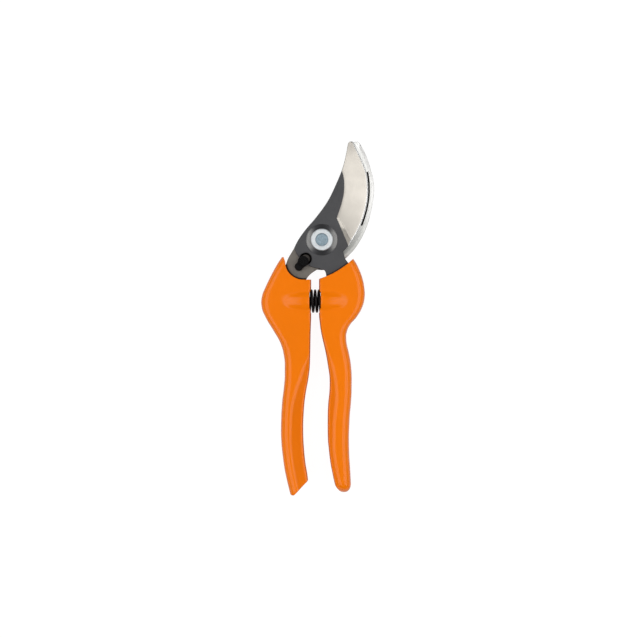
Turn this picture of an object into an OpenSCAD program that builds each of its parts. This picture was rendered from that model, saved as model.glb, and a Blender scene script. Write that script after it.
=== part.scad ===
// Bypass pruner: a ground cutting blade swings past a hooked counter blade on one bolt.
// It lies on its back. The pivot axis is Z, +Y points to the jaw tips and +Z to the front.
// Millimetres throughout. The origin is on the pivot axis, at the back face of the nut.

/* [Jaws] */
// Distance from the pivot to the tip of the cutting blade
jaw_len = 55.6; // [50:0.2:62]
// Thickness of the cutting blade
blade_thk = 3; // [2.4:0.1:3.6]
// Thickness of the counter blade
hook_thk = 3; // [2.4:0.1:3.6]
// Gap between the two blades, which slide past each other
plate_gap = 0.05; // [0.02:0.01:0.1]
// Radius of the cutting blade's round shoulder about the pivot
boss_r = 16.2; // [15.8:0.1:16.4]
// Radius of the counter blade's round shoulder about the pivot
hook_boss_r = 16.9; // [16.6:0.1:17.4]
// Width of the counter blade's jaw at its middle
hook_w = 7.4; // [6.4:0.1:8.6]
// Thickness left at the cutting edge by the main grind
edge_t = 0.8; // [0.5:0.1:1.2]
// Width of the narrow second bevel along the cutting edge
honed_w = 0.6; // [0.4:0.1:1]
// Thickness left at the honed edge
honed_t = 0.15; // [0.1:0.05:0.3]
// Width of the sap groove in the counter blade
groove_w = 0.8; // [0.6:0.1:1]
// Depth of the sap groove
groove_d = 0.7; // [0.4:0.1:1]
// Distance from the cutting edge to the middle of the sap groove
groove_off = 0.6; // [0.5:0.05:1]
// Width of the chamfer on the counter blade's outer edge
hook_chamfer_w = 1.6; // [1:0.1:2]
// Depth of the chamfer on the counter blade's outer edge
hook_chamfer_d = 0.7; // [0.4:0.1:1.2]

/* [Pivot] */
// Diameter of the bolt's round head
head_d = 12.4; // [11:0.1:14]
// Height of the bolt's head
head_h = 2.4; // [1.8:0.1:3]
// Diameter of the recess in the head
recess_d = 7.1; // [5:0.1:8]
// Depth of the recess in the head
recess_h = 0.8; // [0.4:0.1:1.2]
// Diameter of the round bed turned into the cutting blade for the head
bed_d = 17.4; // [15:0.1:18]
// Depth of that bed
bed_h = 0.35; // [0.2:0.05:0.6]
// Diameter of the bolt's shank, on which the cutting blade turns
shank_d = 7; // [6.6:0.1:8]
// Width across the two flats that key the bolt into the counter blade
key_w = 5.8; // [5.4:0.1:6.4]
// Diameter of the bolt's threaded end
thread_d = 6; // [5:0.1:6]
// Radial running clearance on the shank
run_fit = 0.05; // [0.02:0.01:0.1]
// Width of the nut across its flats
nut_af = 10; // [9:0.1:12]
// Height of the nut with its collar
nut_h = 4; // [3.6:0.1:5]
// Height of the nut's round locking collar
collar_h = 1.1; // [0.8:0.1:1.6]
// Outer diameter of the conical washer
washer_d = 13; // [12:0.1:15]
// Height of the conical washer
washer_h = 0.8; // [0.6:0.1:1.4]

/* [Handles] */
// Distance from the pivot to the end of the left handle
left_len = 143.5; // [135:0.5:155]
// Distance from the pivot to the end of the right handle
right_len = 142; // [133:0.5:153]
// Greatest thickness of the handles, front to back
handle_thk = 15.6; // [14.6:0.1:17]
// Gap between the handles' inner faces when the jaws are shut
handle_gap = 4.6; // [3.8:0.1:5.6]
// Width of the rounding along each handle's outer edge
rim_w = 4; // [3:0.1:5]
// Rounding of the inner edge
inner_r = 0.9; // [0.6:0.1:1.2]
// Slope of the left handle's cut end, in degrees
end_slope = 47.4; // [40:0.2:52]
// Rounding of the left handle's tip
tip_r = 2.2; // [1.6:0.1:3]
// Radius of the left handle's round mouth about the catch
mouth_r = 10.25; // [9.8:0.05:10.8]
// Clearance of the moulding round the tangs
tang_fit = 0.05; // [0.02:0.01:0.1]
// Diameter of the holes in the tangs that the moulding fills
key_hole_d = 4; // [3:0.1:4.6]

/* [Spring] */
// Diameter of the spring wire
wire_d = 1.2; // [1:0.1:1.4]
// Outer diameter of the spring
spring_d = 12.8; // [11.6:0.1:13]
// Number of turns
spring_turns = 16; // [12:1:17]
// Distance of the spring's axis below the pivot
spring_s = 34.4; // [33.4:0.1:35.4]
// Radial clearance of the spring in its pockets
pocket_fit = 0.35; // [0.3:0.05:0.5]
// Depth of the spring pocket in each handle
pocket_h = 14; // [12:0.1:15]
// Length of the peg inside each pocket
peg_h = 8; // [5:0.1:10]
// Height of the swelling over each pocket
swell_h = 1.4; // [1.1:0.05:1.5]

/* [Catch] */
// Diameter of the catch's ribbed knob
knob_d = 6.1; // [5.4:0.1:6.4]
// Height of the knob above the cutting blade
knob_h = 3; // [2:0.1:4]
// Diameter of the lobe beside the knob
lobe_d = 4.6; // [4.5:0.05:5]
// Distance of the knob from the pivot with the catch drawn back
knob_s = 16; // [15.8:0.1:16.2]
// Distance of the lobe from the pivot with the catch drawn back
lobe_s = 19.8; // [19.6:0.1:20]
// Travel of the catch
catch_travel = 2.4; // [2.2:0.1:2.6]
// Width of the catch's slot in the counter blade
slot_w = 4.2; // [3.8:0.1:4.3]
// Sliding clearance of the catch
slide_fit = 0.1; // [0.05:0.01:0.15]
// Radius of the locking notch in the cutting blade
notch_r = 3.4; // [3.3:0.05:3.6]
// Distance of the notch from the pivot
notch_s = 14.05; // [13.9:0.05:14.2]
// Clear distance between parts that pass each other
clear = 0.3; // [0.25:0.01:0.4]
// Number of grooves across the knob
knob_grooves = 4; // [3:1:5]
// Width of one groove
knob_groove_w = 0.6; // [0.4:0.05:0.7]

/* [Hidden] */
$fn = 96;
orange = "#F07D14";
coated = "#4B4B4D";
ground = "#E6E1D4";
plated = "#D5DADF";
black = "#151515";
eps = 0.01;

// Heights of the stack on the bolt, from the back
hook_back = nut_h + washer_h;
face_z = hook_back + hook_thk;
blade_back = face_z + plate_gap;
blade_top = blade_back + blade_thk;
bed_z = blade_top - bed_h;

// Middle of the gap between the handles
gap_x = -3.8;
left_face = gap_x - handle_gap / 2;
right_face = gap_x + handle_gap / 2;
half_thk = handle_thk / 2;
pocket_r = spring_d / 2 + pocket_fit;
peg_r = spring_d / 2 - wire_d - pocket_fit;

// Direction of the catch's slide, measured from +X, and its place with the catch drawn back
catch_a = 229.4;
catch_out = [cos(catch_a), sin(catch_a)];
catch_p = knob_s * catch_out;
neck_r = slot_w / 2 - slide_fit;
neck_len = 1;
knob_z = blade_top + clear;
tooth_s = boss_r + 0.8;
shelf_s = boss_r + catch_travel + 0.7;

// ---------- Curves ----------
// Point on the curve through four points, between the middle two
function curve_at(a, b, c, d, t) = 0.5 * (2 * b + (c - a) * t
    + (2 * a - 5 * b + 4 * c - d) * t * t + (3 * b - a - 3 * c + d) * t * t * t);
// Smooth curve through a list of points, with n steps from each point to the next
function smooth(p, n = 4) = let (m = len(p) - 1) [
    for (i = [0 : m - 1], k = [0 : n - 1])
        curve_at(p[max(i - 1, 0)], p[i], p[i + 1], p[min(i + 2, m)], k / n),
    p[m]];
// Unit vector to the right of the direction of travel along a curve
function right_of(p, i) = let (
    d = p[min(i + 1, len(p) - 1)] - p[max(i - 1, 0)]) [d[1], -d[0]] / norm(d);
// The same curve moved sideways to its right
function beside(p, w) = [for (i = [0 : len(p) - 1]) p[i] + w * right_of(p, i)];
function backwards(p) = [for (i = [len(p) - 1 : -1 : 0]) p[i]];
function arc(r, a, b, n) = [for (k = [0 : n]) r * [cos(a + (b - a) * k / n), sin(a + (b - a) * k / n)]];
// A jaw outline is drawn for a reach of 55.6 and stretches with the jaws above the pivot
jaw_k = jaw_len / 55.6;
function jaw(p) = [for (q = p) [q[0], q[1] > 0 ? q[1] * jaw_k : q[1]]];
// Value at s of a smooth curve through [s, value] stations, which never swings past a station
function rise(c, i) = (c[i + 1][1] - c[i][1]) / (c[i + 1][0] - c[i][0]);
function slope(c, i) = let (m = len(c) - 1, a = rise(c, max(i - 1, 0)), b = rise(c, min(i, m - 1)))
    a * b <= 0 ? 0 : 2 * a * b / (a + b);
function station(c, s, i = 0) = i >= len(c) - 2 || s < c[i + 1][0] ? i : station(c, s, i + 1);
function value(c, s) = let (
    q = min(max(s, c[0][0]), c[len(c) - 1][0]),
    i = station(c, q),
    h = c[i + 1][0] - c[i][0],
    t = (q - c[i][0]) / h)
    (1 + 2 * t) * pow(1 - t, 2) * c[i][1] + t * pow(1 - t, 2) * h * slope(c, i)
    + t * t * (3 - 2 * t) * c[i + 1][1] + t * t * (t - 1) * h * slope(c, i + 1);

// ---------- Jaw outlines, from the tip towards the pivot ----------
edge = smooth(jaw([[17.8, 55.3], [20.4, 49.6], [23.2, 43.5], [25.1, 37.9], [25.9, 31], [25.8, 23.9],
                   [24.4, 16.3], [21.9, 8.7], [18.5, 1.9], [15.9, -1.7]]));
spine = smooth(jaw([[14.6, 53.6], [13.3, 46.6], [11.4, 39.6], [8, 31.3], [3.35, 21.8], [-3.1, 12.8],
                    [-9.3, 5.5], [-13.2, 0], [-15.55, -4.6]]));
blade_tip = jaw([[14.9, 54.7], [15.6, 55.4], [16.6, 55.6]]);
// Inner border of the ground face: it runs off the spine near the tip
grind = smooth(jaw([[5.6, 50.6], [8.2, 45.6], [10.6, 40.6], [12.2, 35.4], [12.6, 30.3], [12.2, 25.2],
                    [11.0, 19.9], [9.7, 16], [8.4, 12.2], [8.5, 11.4]]));
hook_outer = smooth(jaw([[22.2, 53.2], [25.2, 47.3], [27.8, 39.4], [29.4, 32.2], [29.4, 26],
                         [28.4, 19.2], [26.4, 10.6], [23.2, 2.6], [18.6, -4.9], [13.4, -10.3]]));
hook_tip = jaw([[18.4, 55.3], [20.1, 55.4], [21.3, 54.6]]);
hook_inner = smooth(concat([for (q = jaw([[24.6, 54.2]])) q - [hook_w, 0]],
    [for (q = jaw([[28.2, 47.2], [30.2, 39], [30.6, 30], [28.8, 21.6], [24, 14.6]])) q - [hook_w, 0]],
    jaw([[10, 11.2]])));

// ---------- Cutting blade ----------
// A tool that takes a sloping bite off a plate's top: from line a, at the top, down to line b.
// It reaches past line b by over, and drop holds the depth at each point of b.
module bite(a, b, drop, top, over) {
    n = len(a);
    low = [for (i = [0 : n - 1]) let (d = b[i] - a[i], k = 1 + over / norm(d))
        [a[i][0] + d[0] * k, a[i][1] + d[1] * k, top - drop[i] * k]];
    points = concat([for (p = a) [p[0], p[1], top]], low,
                    [for (p = low) [p[0], p[1], top + 2]], [for (p = a) [p[0], p[1], top + 2]]);
    // Two triangles between neighbouring points of neighbouring rows
    cells = [for (r = [0 : 3], i = [0 : n - 2]) [r * n + i, ((r + 1) % 4) * n + i]];
    polyhedron(points, concat(
        [for (c = cells) [c[0], c[0] + 1, c[1]]],
        [for (c = cells) [c[1], c[0] + 1, c[1] + 1]],
        [[0, n, 2 * n], [0, 2 * n, 3 * n]],
        [[n - 1, 3 * n - 1, 2 * n - 1], [n - 1, 4 * n - 1, 3 * n - 1]]));
}

// The tang of the cutting blade keeps to the outside of the right handle's spring pocket
blade_tang = concat(
    [[15, -3.4], [11.9, -6.7], [13.2, -10.8], [15.4, -13.8]],
    smooth([[18.2, -19], [20.4, -26], [20.2, -34], [17, -41.5], [12, -47.5], [10.4, -55], [12.2, -66],
            [13.6, -76]], 3),
    smooth([[12.4, -80], [9.4, -80], [8, -76], [6, -66], [3.6, -56], [4.4, -48.5]], 3),
    [[13.6, -spring_s - pocket_r - 2], [right_face + pocket_h + 2, -spring_s - pocket_r],
     [right_face + pocket_h + 2, -spring_s + pocket_r + 0.6],
     [6, -spring_s + pocket_r + 2.2], [2.6, -22.5]],
    smooth([[2.6, -20.6], [1.7, -17.4], [-1, -boss_r]], 3));
module blade_outline() {
    polygon(concat(blade_tang, arc(boss_r, 262, 197, 22), backwards(spine), blade_tip, edge));
}

module cutting_blade() {
    full = len(edge);
    ahead = [-1, 2.4];
    color(coated) difference() {
        translate([0, 0, blade_back]) linear_extrude(blade_thk) blade_outline();
        // Main grind, which ends in a short steep facet at the heel
        bite(concat([grind[0] + ahead], grind, [grind[len(grind) - 1] + [0.1, -0.2]]),
             concat([edge[0] + ahead], edge, [[14.6, -3.9]]),
             concat([for (i = [0 : full]) blade_thk - edge_t], [0]), blade_top, 3);
        // Honed second bevel
        bite(concat([edge[0] + ahead - [honed_w, 0.2]], beside(edge, honed_w)),
             concat([edge[0] + ahead], edge), [for (i = [0 : full]) edge_t - honed_t],
             blade_back + edge_t, 0.8);
        translate([0, 0, bed_z]) cylinder(h = bed_h + 1, d = bed_d);
        translate([0, 0, blade_back - 1]) cylinder(h = blade_thk + 2, d = shank_d + 2 * run_fit);
        translate([each notch_s * catch_out, blade_back - 1]) cylinder(h = blade_thk + 2, r = notch_r);
        for (p = blade_keys) translate([each p, blade_back - 1]) cylinder(h = blade_thk + 2, d = key_hole_d);
    }
}
blade_keys = [[8.4, -58], [9.8, -70]];

// ---------- Counter blade ----------
hook_tang = concat(
    smooth([[-15.6, -4.6], [-18.9, -10.2], [-20.7, -14.6], [-25.6, -21.4], [-29, -28], [-29.6, -36],
            [-26.4, -44], [-20.6, -52.5], [-17.4, -62], [-17.4, -72], [-18.4, -80]], 3),
    smooth([[-17, -84], [-14, -84], [-12.4, -80], [-11, -72], [-9.6, -62], [-10.4, -51]], 3),
    [[-16, -spring_s - pocket_r - 2], [left_face - pocket_h - 2, -spring_s - pocket_r],
     [left_face - pocket_h - 2, -spring_s + pocket_r + 0.6], [-14, -spring_s + pocket_r + 2.2]],
    smooth([[-10.4, -24.6], [-7.6, -20.4], [-5.4, -18.4], [-2.8, -hook_boss_r + 0.2]], 3));
module hook_outline() {
    polygon(concat(hook_tang, arc(hook_boss_r, 272, 322, 16), backwards(hook_outer), backwards(hook_tip),
                   hook_inner, arc(10.8, 95, 165, 12)));
}

module sap_groove() {
    run = [for (i = [0 : len(edge) - 1]) if (edge[i][1] < 38.5 * jaw_k && edge[i][1] > 8 * jaw_k) edge[i]];
    mid = beside(run, -groove_off);
    translate([0, 0, face_z - groove_d]) {
        linear_extrude(groove_d + 1) polygon(concat(beside(mid, -groove_w / 2),
            backwards(beside(mid, groove_w / 2))));
        for (p = [mid[0], mid[len(mid) - 1]]) translate(p) cylinder(h = groove_d + 1, d = groove_w);
    }
}

module double_d(d, w) {
    intersection() {
        circle(d = d);
        square([2 * d, w], center = true);
    }
}

// Bar with round ends between two distances along the catch's line
module catch_bar(from, to, r, h) {
    rotate(catch_a) linear_extrude(h) polygon(concat(
        [for (q = arc(r, -90, 90, 16)) q + [to, 0]], [for (q = arc(r, 90, 270, 16)) q + [from, 0]]));
}

module counter_blade() {
    color(ground) difference() {
        translate([0, 0, hook_back]) linear_extrude(hook_thk) hook_outline();
        // Chamfer along the outer edge of the hook
        bite(beside(hook_outer, hook_chamfer_w), hook_outer, [for (p = hook_outer) hook_chamfer_d],
             face_z, 1);
        sap_groove();
        translate([0, 0, hook_back - 1]) linear_extrude(hook_thk + 2)
            double_d(shank_d + 2 * run_fit, key_w + 2 * run_fit);
        translate([0, 0, hook_back - 1])
            catch_bar(lobe_s - neck_len - catch_travel - slide_fit, lobe_s + slide_fit,
                      slot_w / 2, hook_thk + 2);
        for (p = hook_keys) translate([each p, hook_back - 1]) cylinder(h = hook_thk + 2, d = key_hole_d);
    }
}
hook_keys = [[-14, -60], [-14.4, -74]];

// ---------- Handles ----------
// Stations are [distance below the pivot, x]. Below the neck they stretch with the handle's length.
neck_s = 48;
function lower(c, k) = [for (q = c) [q[0] > neck_s ? neck_s + (q[0] - neck_s) * k : q[0], q[1]]];
left_k = (left_len - neck_s) / (143.5 - neck_s);
right_k = (right_len - neck_s) / (142 - neck_s);
left_outer = lower([[9.2, -22.2], [13.5, -25.1], [20.3, -28.8], [27, -32], [31, -33.6], [34.8, -34.2],
    [38.5, -33.8], [44, -31.5], [50.7, -27.5], [57.5, -23.6], [62.5, -21.9], [70, -20.9], [76, -20.9],
    [83, -21.4], [91.3, -22.4], [100, -22.9], [108.2, -23.05], [115, -22.75], [121.7, -22.05],
    [128.5, -21.1], [135.2, -19.7], [142, -18.05], [148, -16.4]], left_k);
left_inner = lower([[9.2, 0], [42, 0], [52, -0.3], [64, -0.52], [71, -0.75], [78, -1.55], [84.5, -2.75],
    [91, -3.7], [98, -4.25], [105, -4.5], [110, -4.45], [118, -4], [125, -3.3], [132, -2.15], [136, -1.7],
    [148, -0.9]], left_k);
left_crease = lower([[9.2, 0], [58, 0], [63, -0.9], [73, -4.4], [85, -8.7], [97, -11.1], [112, -11.6],
    [127, -10.2], [138, -8], [148, -6.2]], left_k);
right_outer = lower([[9.8, 17.2], [13.5, 19.6], [20.3, 22.5], [25, 23.7], [30.4, 24.25], [34, 23.9],
    [38.5, 22.5], [44, 19.2], [47.3, 16.2], [50.7, 14.4], [54.1, 13.7], [57.5, 13.9], [64.2, 15.35],
    [71, 16.45], [77.8, 16.85], [84.5, 16.8], [91.3, 16.45], [98, 15.8], [104.8, 15.45], [111.5, 15.25],
    [118.3, 15.35], [131.8, 15.85], [142, 15.9]], right_k);
right_inner = lower([[9.8, 0], [41.5, 0], [47.3, 0.5], [50.7, 0.95], [54.1, 1.6], [57.5, 2.4], [64.2, 3.9],
    [71, 5.05], [77.8, 5.95], [81, 6], [86, 5.8], [91.3, 5.25], [98, 4.9], [104.8, 4.85], [111.5, 4.95],
    [118.3, 5.55], [125, 6.35], [131.8, 7.65], [142, 9.9]], right_k);
right_crease = lower([[9.8, 0], [44, 0], [48.5, 1], [60, 4.2], [73, 8.1], [81, 9.4], [88, 9.8], [96, 9.1],
    [104, 8.3], [116, 8.2], [124, 9], [131, 10.3], [142, 12.9]], right_k);
// Shares of the half thickness along both handles: at the crest, and at the inner face
crest = [[9, 0.6], [20, 0.79], [30, 0.82], [50, 0.82], [65, 0.86], [80, 0.94], [100, 1], [125, 0.99],
         [145, 0.9]];
inner_face = [[9, 0.54], [20, 0.75], [30, 0.78], [42, 0.78], [62, 0.74], [75, 0.64], [88, 0.5], [100, 0.42],
              [145, 0.42]];

// Swelling over the spring pocket: full from the inner face to the pocket's floor, then fading out
function swell(s, depth) = let (
    a = min(1, abs(s - spring_s) / (pocket_r + 2.6)),
    b = min(1, max(0, (depth - pocket_h + 3) / 7)))
    swell_h * pow(cos(90 * a), 2) * (1 - b * b * (3 - 2 * b));

// Front half of a handle's section, from the middle of the inner face round to the outer edge
function half_section(s, xi, xc, xo, h, hi, shrink) = let (
    side = xo > xi ? 1 : -1,
    w = abs(xo - xi),
    mid = (xi + xo) / 2,
    rim = min(rim_w, w * 0.42),
    r = inner_r,
    c = min(max(abs(xc - xi), r + 0.5), w - rim - 1.2),
    raw = concat(
        [[0, 0]],
        [for (a = [0, 30, 60, 90]) [r * (1 - cos(a)), hi - r + r * sin(a)]],
        [[(r + c - 0.25) / 2, (hi + h - 0.2) / 2], [c - 0.25, h - 0.2]],
        [for (k = [0 : 5]) [c + 0.35 + (w - rim - c - 0.35) * k / 5, h]],
        [for (a = [15 : 15 : 90]) [w - rim + rim * pow(sin(a), 0.9), h * pow(cos(a), 0.9)]]))
    [for (q = raw) let (
        x = xi + side * q[0],
        z = q[1] <= 0 ? 0 : q[1] + (q[1] > hi - r ? swell(s, q[0]) * min(1, 2 * (w - q[0]) / w) : 0))
        [mid + (x - mid) * shrink, z * shrink]];

// Angles round the closed end of a handle
round_end = [24, 44, 62];
// Loft through the stations. The last end_r of the length closes in a round end where end_r > 0.
module grip(outer, inner, crease, face, from, to, k, end_r) {
    steps = concat([for (s = [from : 2.4 : spring_s + 12]) s],
                   [for (j = [1 : 26]) let (a = spring_s + 12, b = to - end_r) a + (b - a) * j / 26],
                   end_r > 0 ? [for (a = round_end) to - end_r + end_r * sin(a) / sin(round_end[2])] : []);
    rings = [for (s = steps) let (
        p = s > neck_s ? neck_s + (s - neck_s) / k : s,
        shrink = s <= to - end_r ? 1 : sqrt(1 - pow((s - to + end_r) / end_r * sin(round_end[2]), 2)),
        half = half_section(s, face + value(inner, s), face + value(crease, s), value(outer, s),
                            half_thk * value(crest, p), half_thk * value(inner_face, p), shrink),
        m = len(half))
        concat([for (q = half) [q[0], -s, q[1]]],
               [for (j = [m - 2 : -1 : 1]) [half[j][0], -s, -half[j][1]]])];
    n = len(rings[0]);
    last = len(rings) - 1;
    flip = value(outer, from) > face;
    walls = concat(
        [for (i = [0 : last - 1], j = [0 : n - 1]) [i * n + j, i * n + (j + 1) % n, (i + 1) * n + j]],
        [for (i = [0 : last - 1], j = [0 : n - 1])
            [i * n + (j + 1) % n, (i + 1) * n + (j + 1) % n, (i + 1) * n + j]],
        [[for (j = [n - 1 : -1 : 0]) j]], [[for (j = [0 : n - 1]) last * n + j]]);
    translate([0, 0, face_z])
        polyhedron([for (r = rings, p = r) p], flip ? walls : [for (f = walls) backwards(f)]);
}

// Spring pocket with its peg, opening towards +X
module pocket() {
    rotate([0, 90, 0]) difference() {
        translate([0, 0, -pocket_h]) cylinder(h = pocket_h + 5, r = pocket_r);
        translate([0, 0, -pocket_h - 1]) cylinder(h = peg_h + 1, r1 = peg_r, r2 = peg_r - 0.4);
    }
}

// Room for a tang, with the moulding left standing in its holes
module tang_room(z, h, keys) {
    difference() {
        translate([0, 0, z - tang_fit]) linear_extrude(h + 2 * tang_fit) offset(delta = tang_fit) children();
        for (p = keys) translate([each p, z - 1]) cylinder(h = h + 2, d = key_hole_d - 2 * tang_fit);
    }
}

// Everything past the left handle's sloping end, which rounds off into its outer edge
module left_end() {
    tip = [left_face - 10.3, tip_r - left_len];
    past = -left_len - 10;
    polygon(concat(
        [tip + tip_r * [sin(end_slope), -cos(end_slope)] + 30 * [cos(end_slope), sin(end_slope)]],
        [for (q = arc(tip_r, end_slope - 90, -180, 12)) tip + q],
        [[tip[0] - 12, tip[1]], [tip[0] - 12, past], [tip[0] + 40, past]]));
}

module left_handle() {
    horn_x = catch_p[0] - mouth_r;
    mouth_y = catch_p[1] - mouth_r;
    color(orange) difference() {
        grip(left_outer, left_inner, left_crease, left_face, 9.2, left_len + 1.5, left_k, 0);
        translate([each catch_p, -1]) cylinder(h = handle_thk + 4, r = mouth_r);
        translate([0, 0, -1]) linear_extrude(handle_thk + 4)
            polygon([catch_p, [horn_x, catch_p[1]], [horn_x - 2.2, catch_p[1] + 6], [5, catch_p[1] + 6],
                     [5, mouth_y], [catch_p[0], mouth_y]]);
        translate([0, 0, -1]) linear_extrude(handle_thk + 4) left_end();
        translate([left_face, -spring_s, face_z]) pocket();
        tang_room(hook_back, hook_thk, hook_keys) hook_outline();
    }
}

module right_handle() {
    color(orange) difference() {
        grip(right_outer, right_inner, right_crease, right_face, 9.8, right_len, right_k, 4);
        // Mouth, a shallow arc across the top
        translate([-16.1, 24.4, -1]) cylinder(h = handle_thk + 4, r = 48.6);
        // Rebate for the counter blade's shoulder as the handle swings past it
        translate([0, 0, hook_back - clear]) cylinder(h = hook_thk + plate_gap + clear, r = 22.4);
        translate([right_face, -spring_s, face_z]) mirror([1, 0, 0]) pocket();
        tang_room(blade_back, blade_thk, blade_keys) blade_outline();
    }
}

// ---------- Pivot ----------
module pivot_bolt() {
    round_r = 0.6;
    head_z = bed_z + plate_gap;
    color(plated) union() {
        translate([0, 0, head_z]) rotate_extrude() polygon(concat(
            [[0, 0], [head_d / 2 - 0.2, 0], [head_d / 2, 0.2]],
            [for (q = arc(round_r, 0, 90, 5)) q + [head_d / 2 - round_r, head_h - round_r]],
            [[recess_d / 2 + 0.15, head_h], [recess_d / 2 - 0.2, head_h - recess_h],
             [0, head_h - recess_h + 0.15]]));
        translate([0, 0, face_z]) cylinder(h = head_z - face_z + eps, d = shank_d);
        translate([0, 0, hook_back - eps]) linear_extrude(hook_thk + 2 * eps) double_d(shank_d, key_w);
        cylinder(h = hook_back, d = thread_d);
    }
}

module pivot_nut() {
    across = nut_af / cos(30);
    color(plated) difference() {
        union() {
            cylinder(h = collar_h + eps, d = nut_af * 0.86);
            intersection() {
                translate([0, 0, collar_h]) cylinder(h = nut_h - collar_h, d = across, $fn = 6);
                translate([0, 0, collar_h]) rotate_extrude()
                    polygon([[0, 0], [nut_af / 2 - 0.1, 0], [across / 2 + 0.1, 0.7],
                             [across / 2 + 0.1, nut_h - collar_h], [0, nut_h - collar_h]]);
            }
        }
        translate([0, 0, -1]) cylinder(h = nut_h + 2, d = thread_d + 0.04);
    }
}

module pivot_washer() {
    bore = thread_d / 2 + 0.15;
    thin = washer_h * 0.45;
    color(plated) translate([0, 0, nut_h]) rotate_extrude()
        polygon([[bore, 0], [nut_af * 0.42, 0], [washer_d / 2, washer_h - thin], [washer_d / 2, washer_h],
                 [washer_d / 2 - 0.8, washer_h], [bore, thin]]);
}

// ---------- Spring ----------
// Wire swept along a helix on X; the two end coils lie closed against the pocket floors
module coil_spring() {
    turn_steps = 12;
    sides = 6;
    mean_r = (spring_d - wire_d) / 2;
    x0 = left_face - pocket_h + wire_d / 2;
    x1 = right_face + pocket_h - wire_d / 2;
    closed = 1.25;
    shut = closed * wire_d * 1.04;
    pitch = (x1 - x0 - 2 * shut) / (spring_turns - 2 * closed);
    function along(t) = t < closed ? t * wire_d * 1.04 :
        t > spring_turns - closed ? x1 - x0 - (spring_turns - t) * wire_d * 1.04 :
        shut + (t - closed) * pitch;
    rings = [for (i = [0 : spring_turns * turn_steps]) let (t = i / turn_steps, a = 360 * t)
        [for (j = [0 : sides - 1]) let (b = 360 * j / sides, r = mean_r + wire_d / 2 * cos(b))
            [x0 + along(t) + wire_d / 2 * sin(b), r * cos(a), r * sin(a)]]];
    last = len(rings) - 1;
    color(black) translate([0, -spring_s, face_z]) polyhedron([for (r = rings, p = r) p], concat(
        [for (i = [0 : last - 1], j = [0 : sides - 1])
            [i * sides + j, i * sides + (j + 1) % sides, (i + 1) * sides + j]],
        [for (i = [0 : last - 1], j = [0 : sides - 1])
            [i * sides + (j + 1) % sides, (i + 1) * sides + (j + 1) % sides, (i + 1) * sides + j]],
        [[for (j = [sides - 1 : -1 : 0]) j]], [[for (j = [0 : sides - 1]) last * sides + j]]));
}

// ---------- Catch ----------
module catch_thumb_button() {
    step = knob_d / (knob_grooves + 1);
    color(black) difference() {
        union() {
            translate([each catch_p, knob_z]) cylinder(h = knob_h, d1 = knob_d, d2 = knob_d - 0.6);
            translate([0, 0, knob_z]) catch_bar(knob_s, lobe_s, lobe_d / 2, knob_h * 0.5);
            // Shelf that rides on the counter blade outside the cutting blade, on top of the neck
            intersection() {
                union() {
                    translate([0, 0, face_z + slide_fit])
                        catch_bar(knob_s, lobe_s, lobe_d / 2, knob_z - face_z);
                    translate([0, 0, face_z - 1]) catch_bar(lobe_s - neck_len, lobe_s, neck_r, 1.5);
                }
                rotate(catch_a) translate([shelf_s, -lobe_d, 0]) cube([lobe_d, 2 * lobe_d, 30]);
            }
            // Tooth that drops into the notch. Its tip slants like the cutting blade's spine, which
            // then stands beside it when the jaws are wide open.
            rotate(catch_a) translate([tooth_s, 0, face_z + slide_fit]) linear_extrude(knob_z - face_z)
                polygon([[0, -lobe_d / 2], [0.9, -1.2], [2.1, -0.6], [lobe_s - tooth_s, -0.6],
                         [lobe_s - tooth_s, -lobe_d / 2]]);
            // Neck through the slot
            translate([0, 0, hook_back - 1.4])
                catch_bar(lobe_s - neck_len, lobe_s, neck_r, hook_thk + 1.4 - plate_gap);
        }
        rotate(catch_a) for (i = [1 : knob_grooves])
            translate([knob_s - knob_d / 2 + i * step - knob_groove_w / 2, -knob_d, knob_z + knob_h - 0.6])
                cube([knob_groove_w, 2 * knob_d, 2]);
    }
}

module catch_back_button() {
    top = hook_back - slide_fit;
    thick = 3;
    reach = slot_w / 2 + 1.8;
    color(black) difference() {
        translate([0, 0, top - thick]) catch_bar(lobe_s - neck_len - 1.6, lobe_s + 0.6, reach, thick);
        translate([0, 0, top - 1.4]) catch_bar(lobe_s - neck_len, lobe_s, neck_r + 0.03, 3);
        for (i = [0 : 3])
            rotate(catch_a) translate([lobe_s - 4.6 + 1.7 * i, -2 * reach, top - thick - 1])
                cube([knob_groove_w, 4 * reach, 1.5]);
    }
}

cutting_blade();
counter_blade();
left_handle();
right_handle();
pivot_bolt();
pivot_nut();
pivot_washer();
coil_spring();
catch_thumb_button();
catch_back_button();
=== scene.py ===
import math

import bpy
from mathutils import Matrix, Vector
from mathutils.geometry import delaunay_2d_cdt


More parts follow.
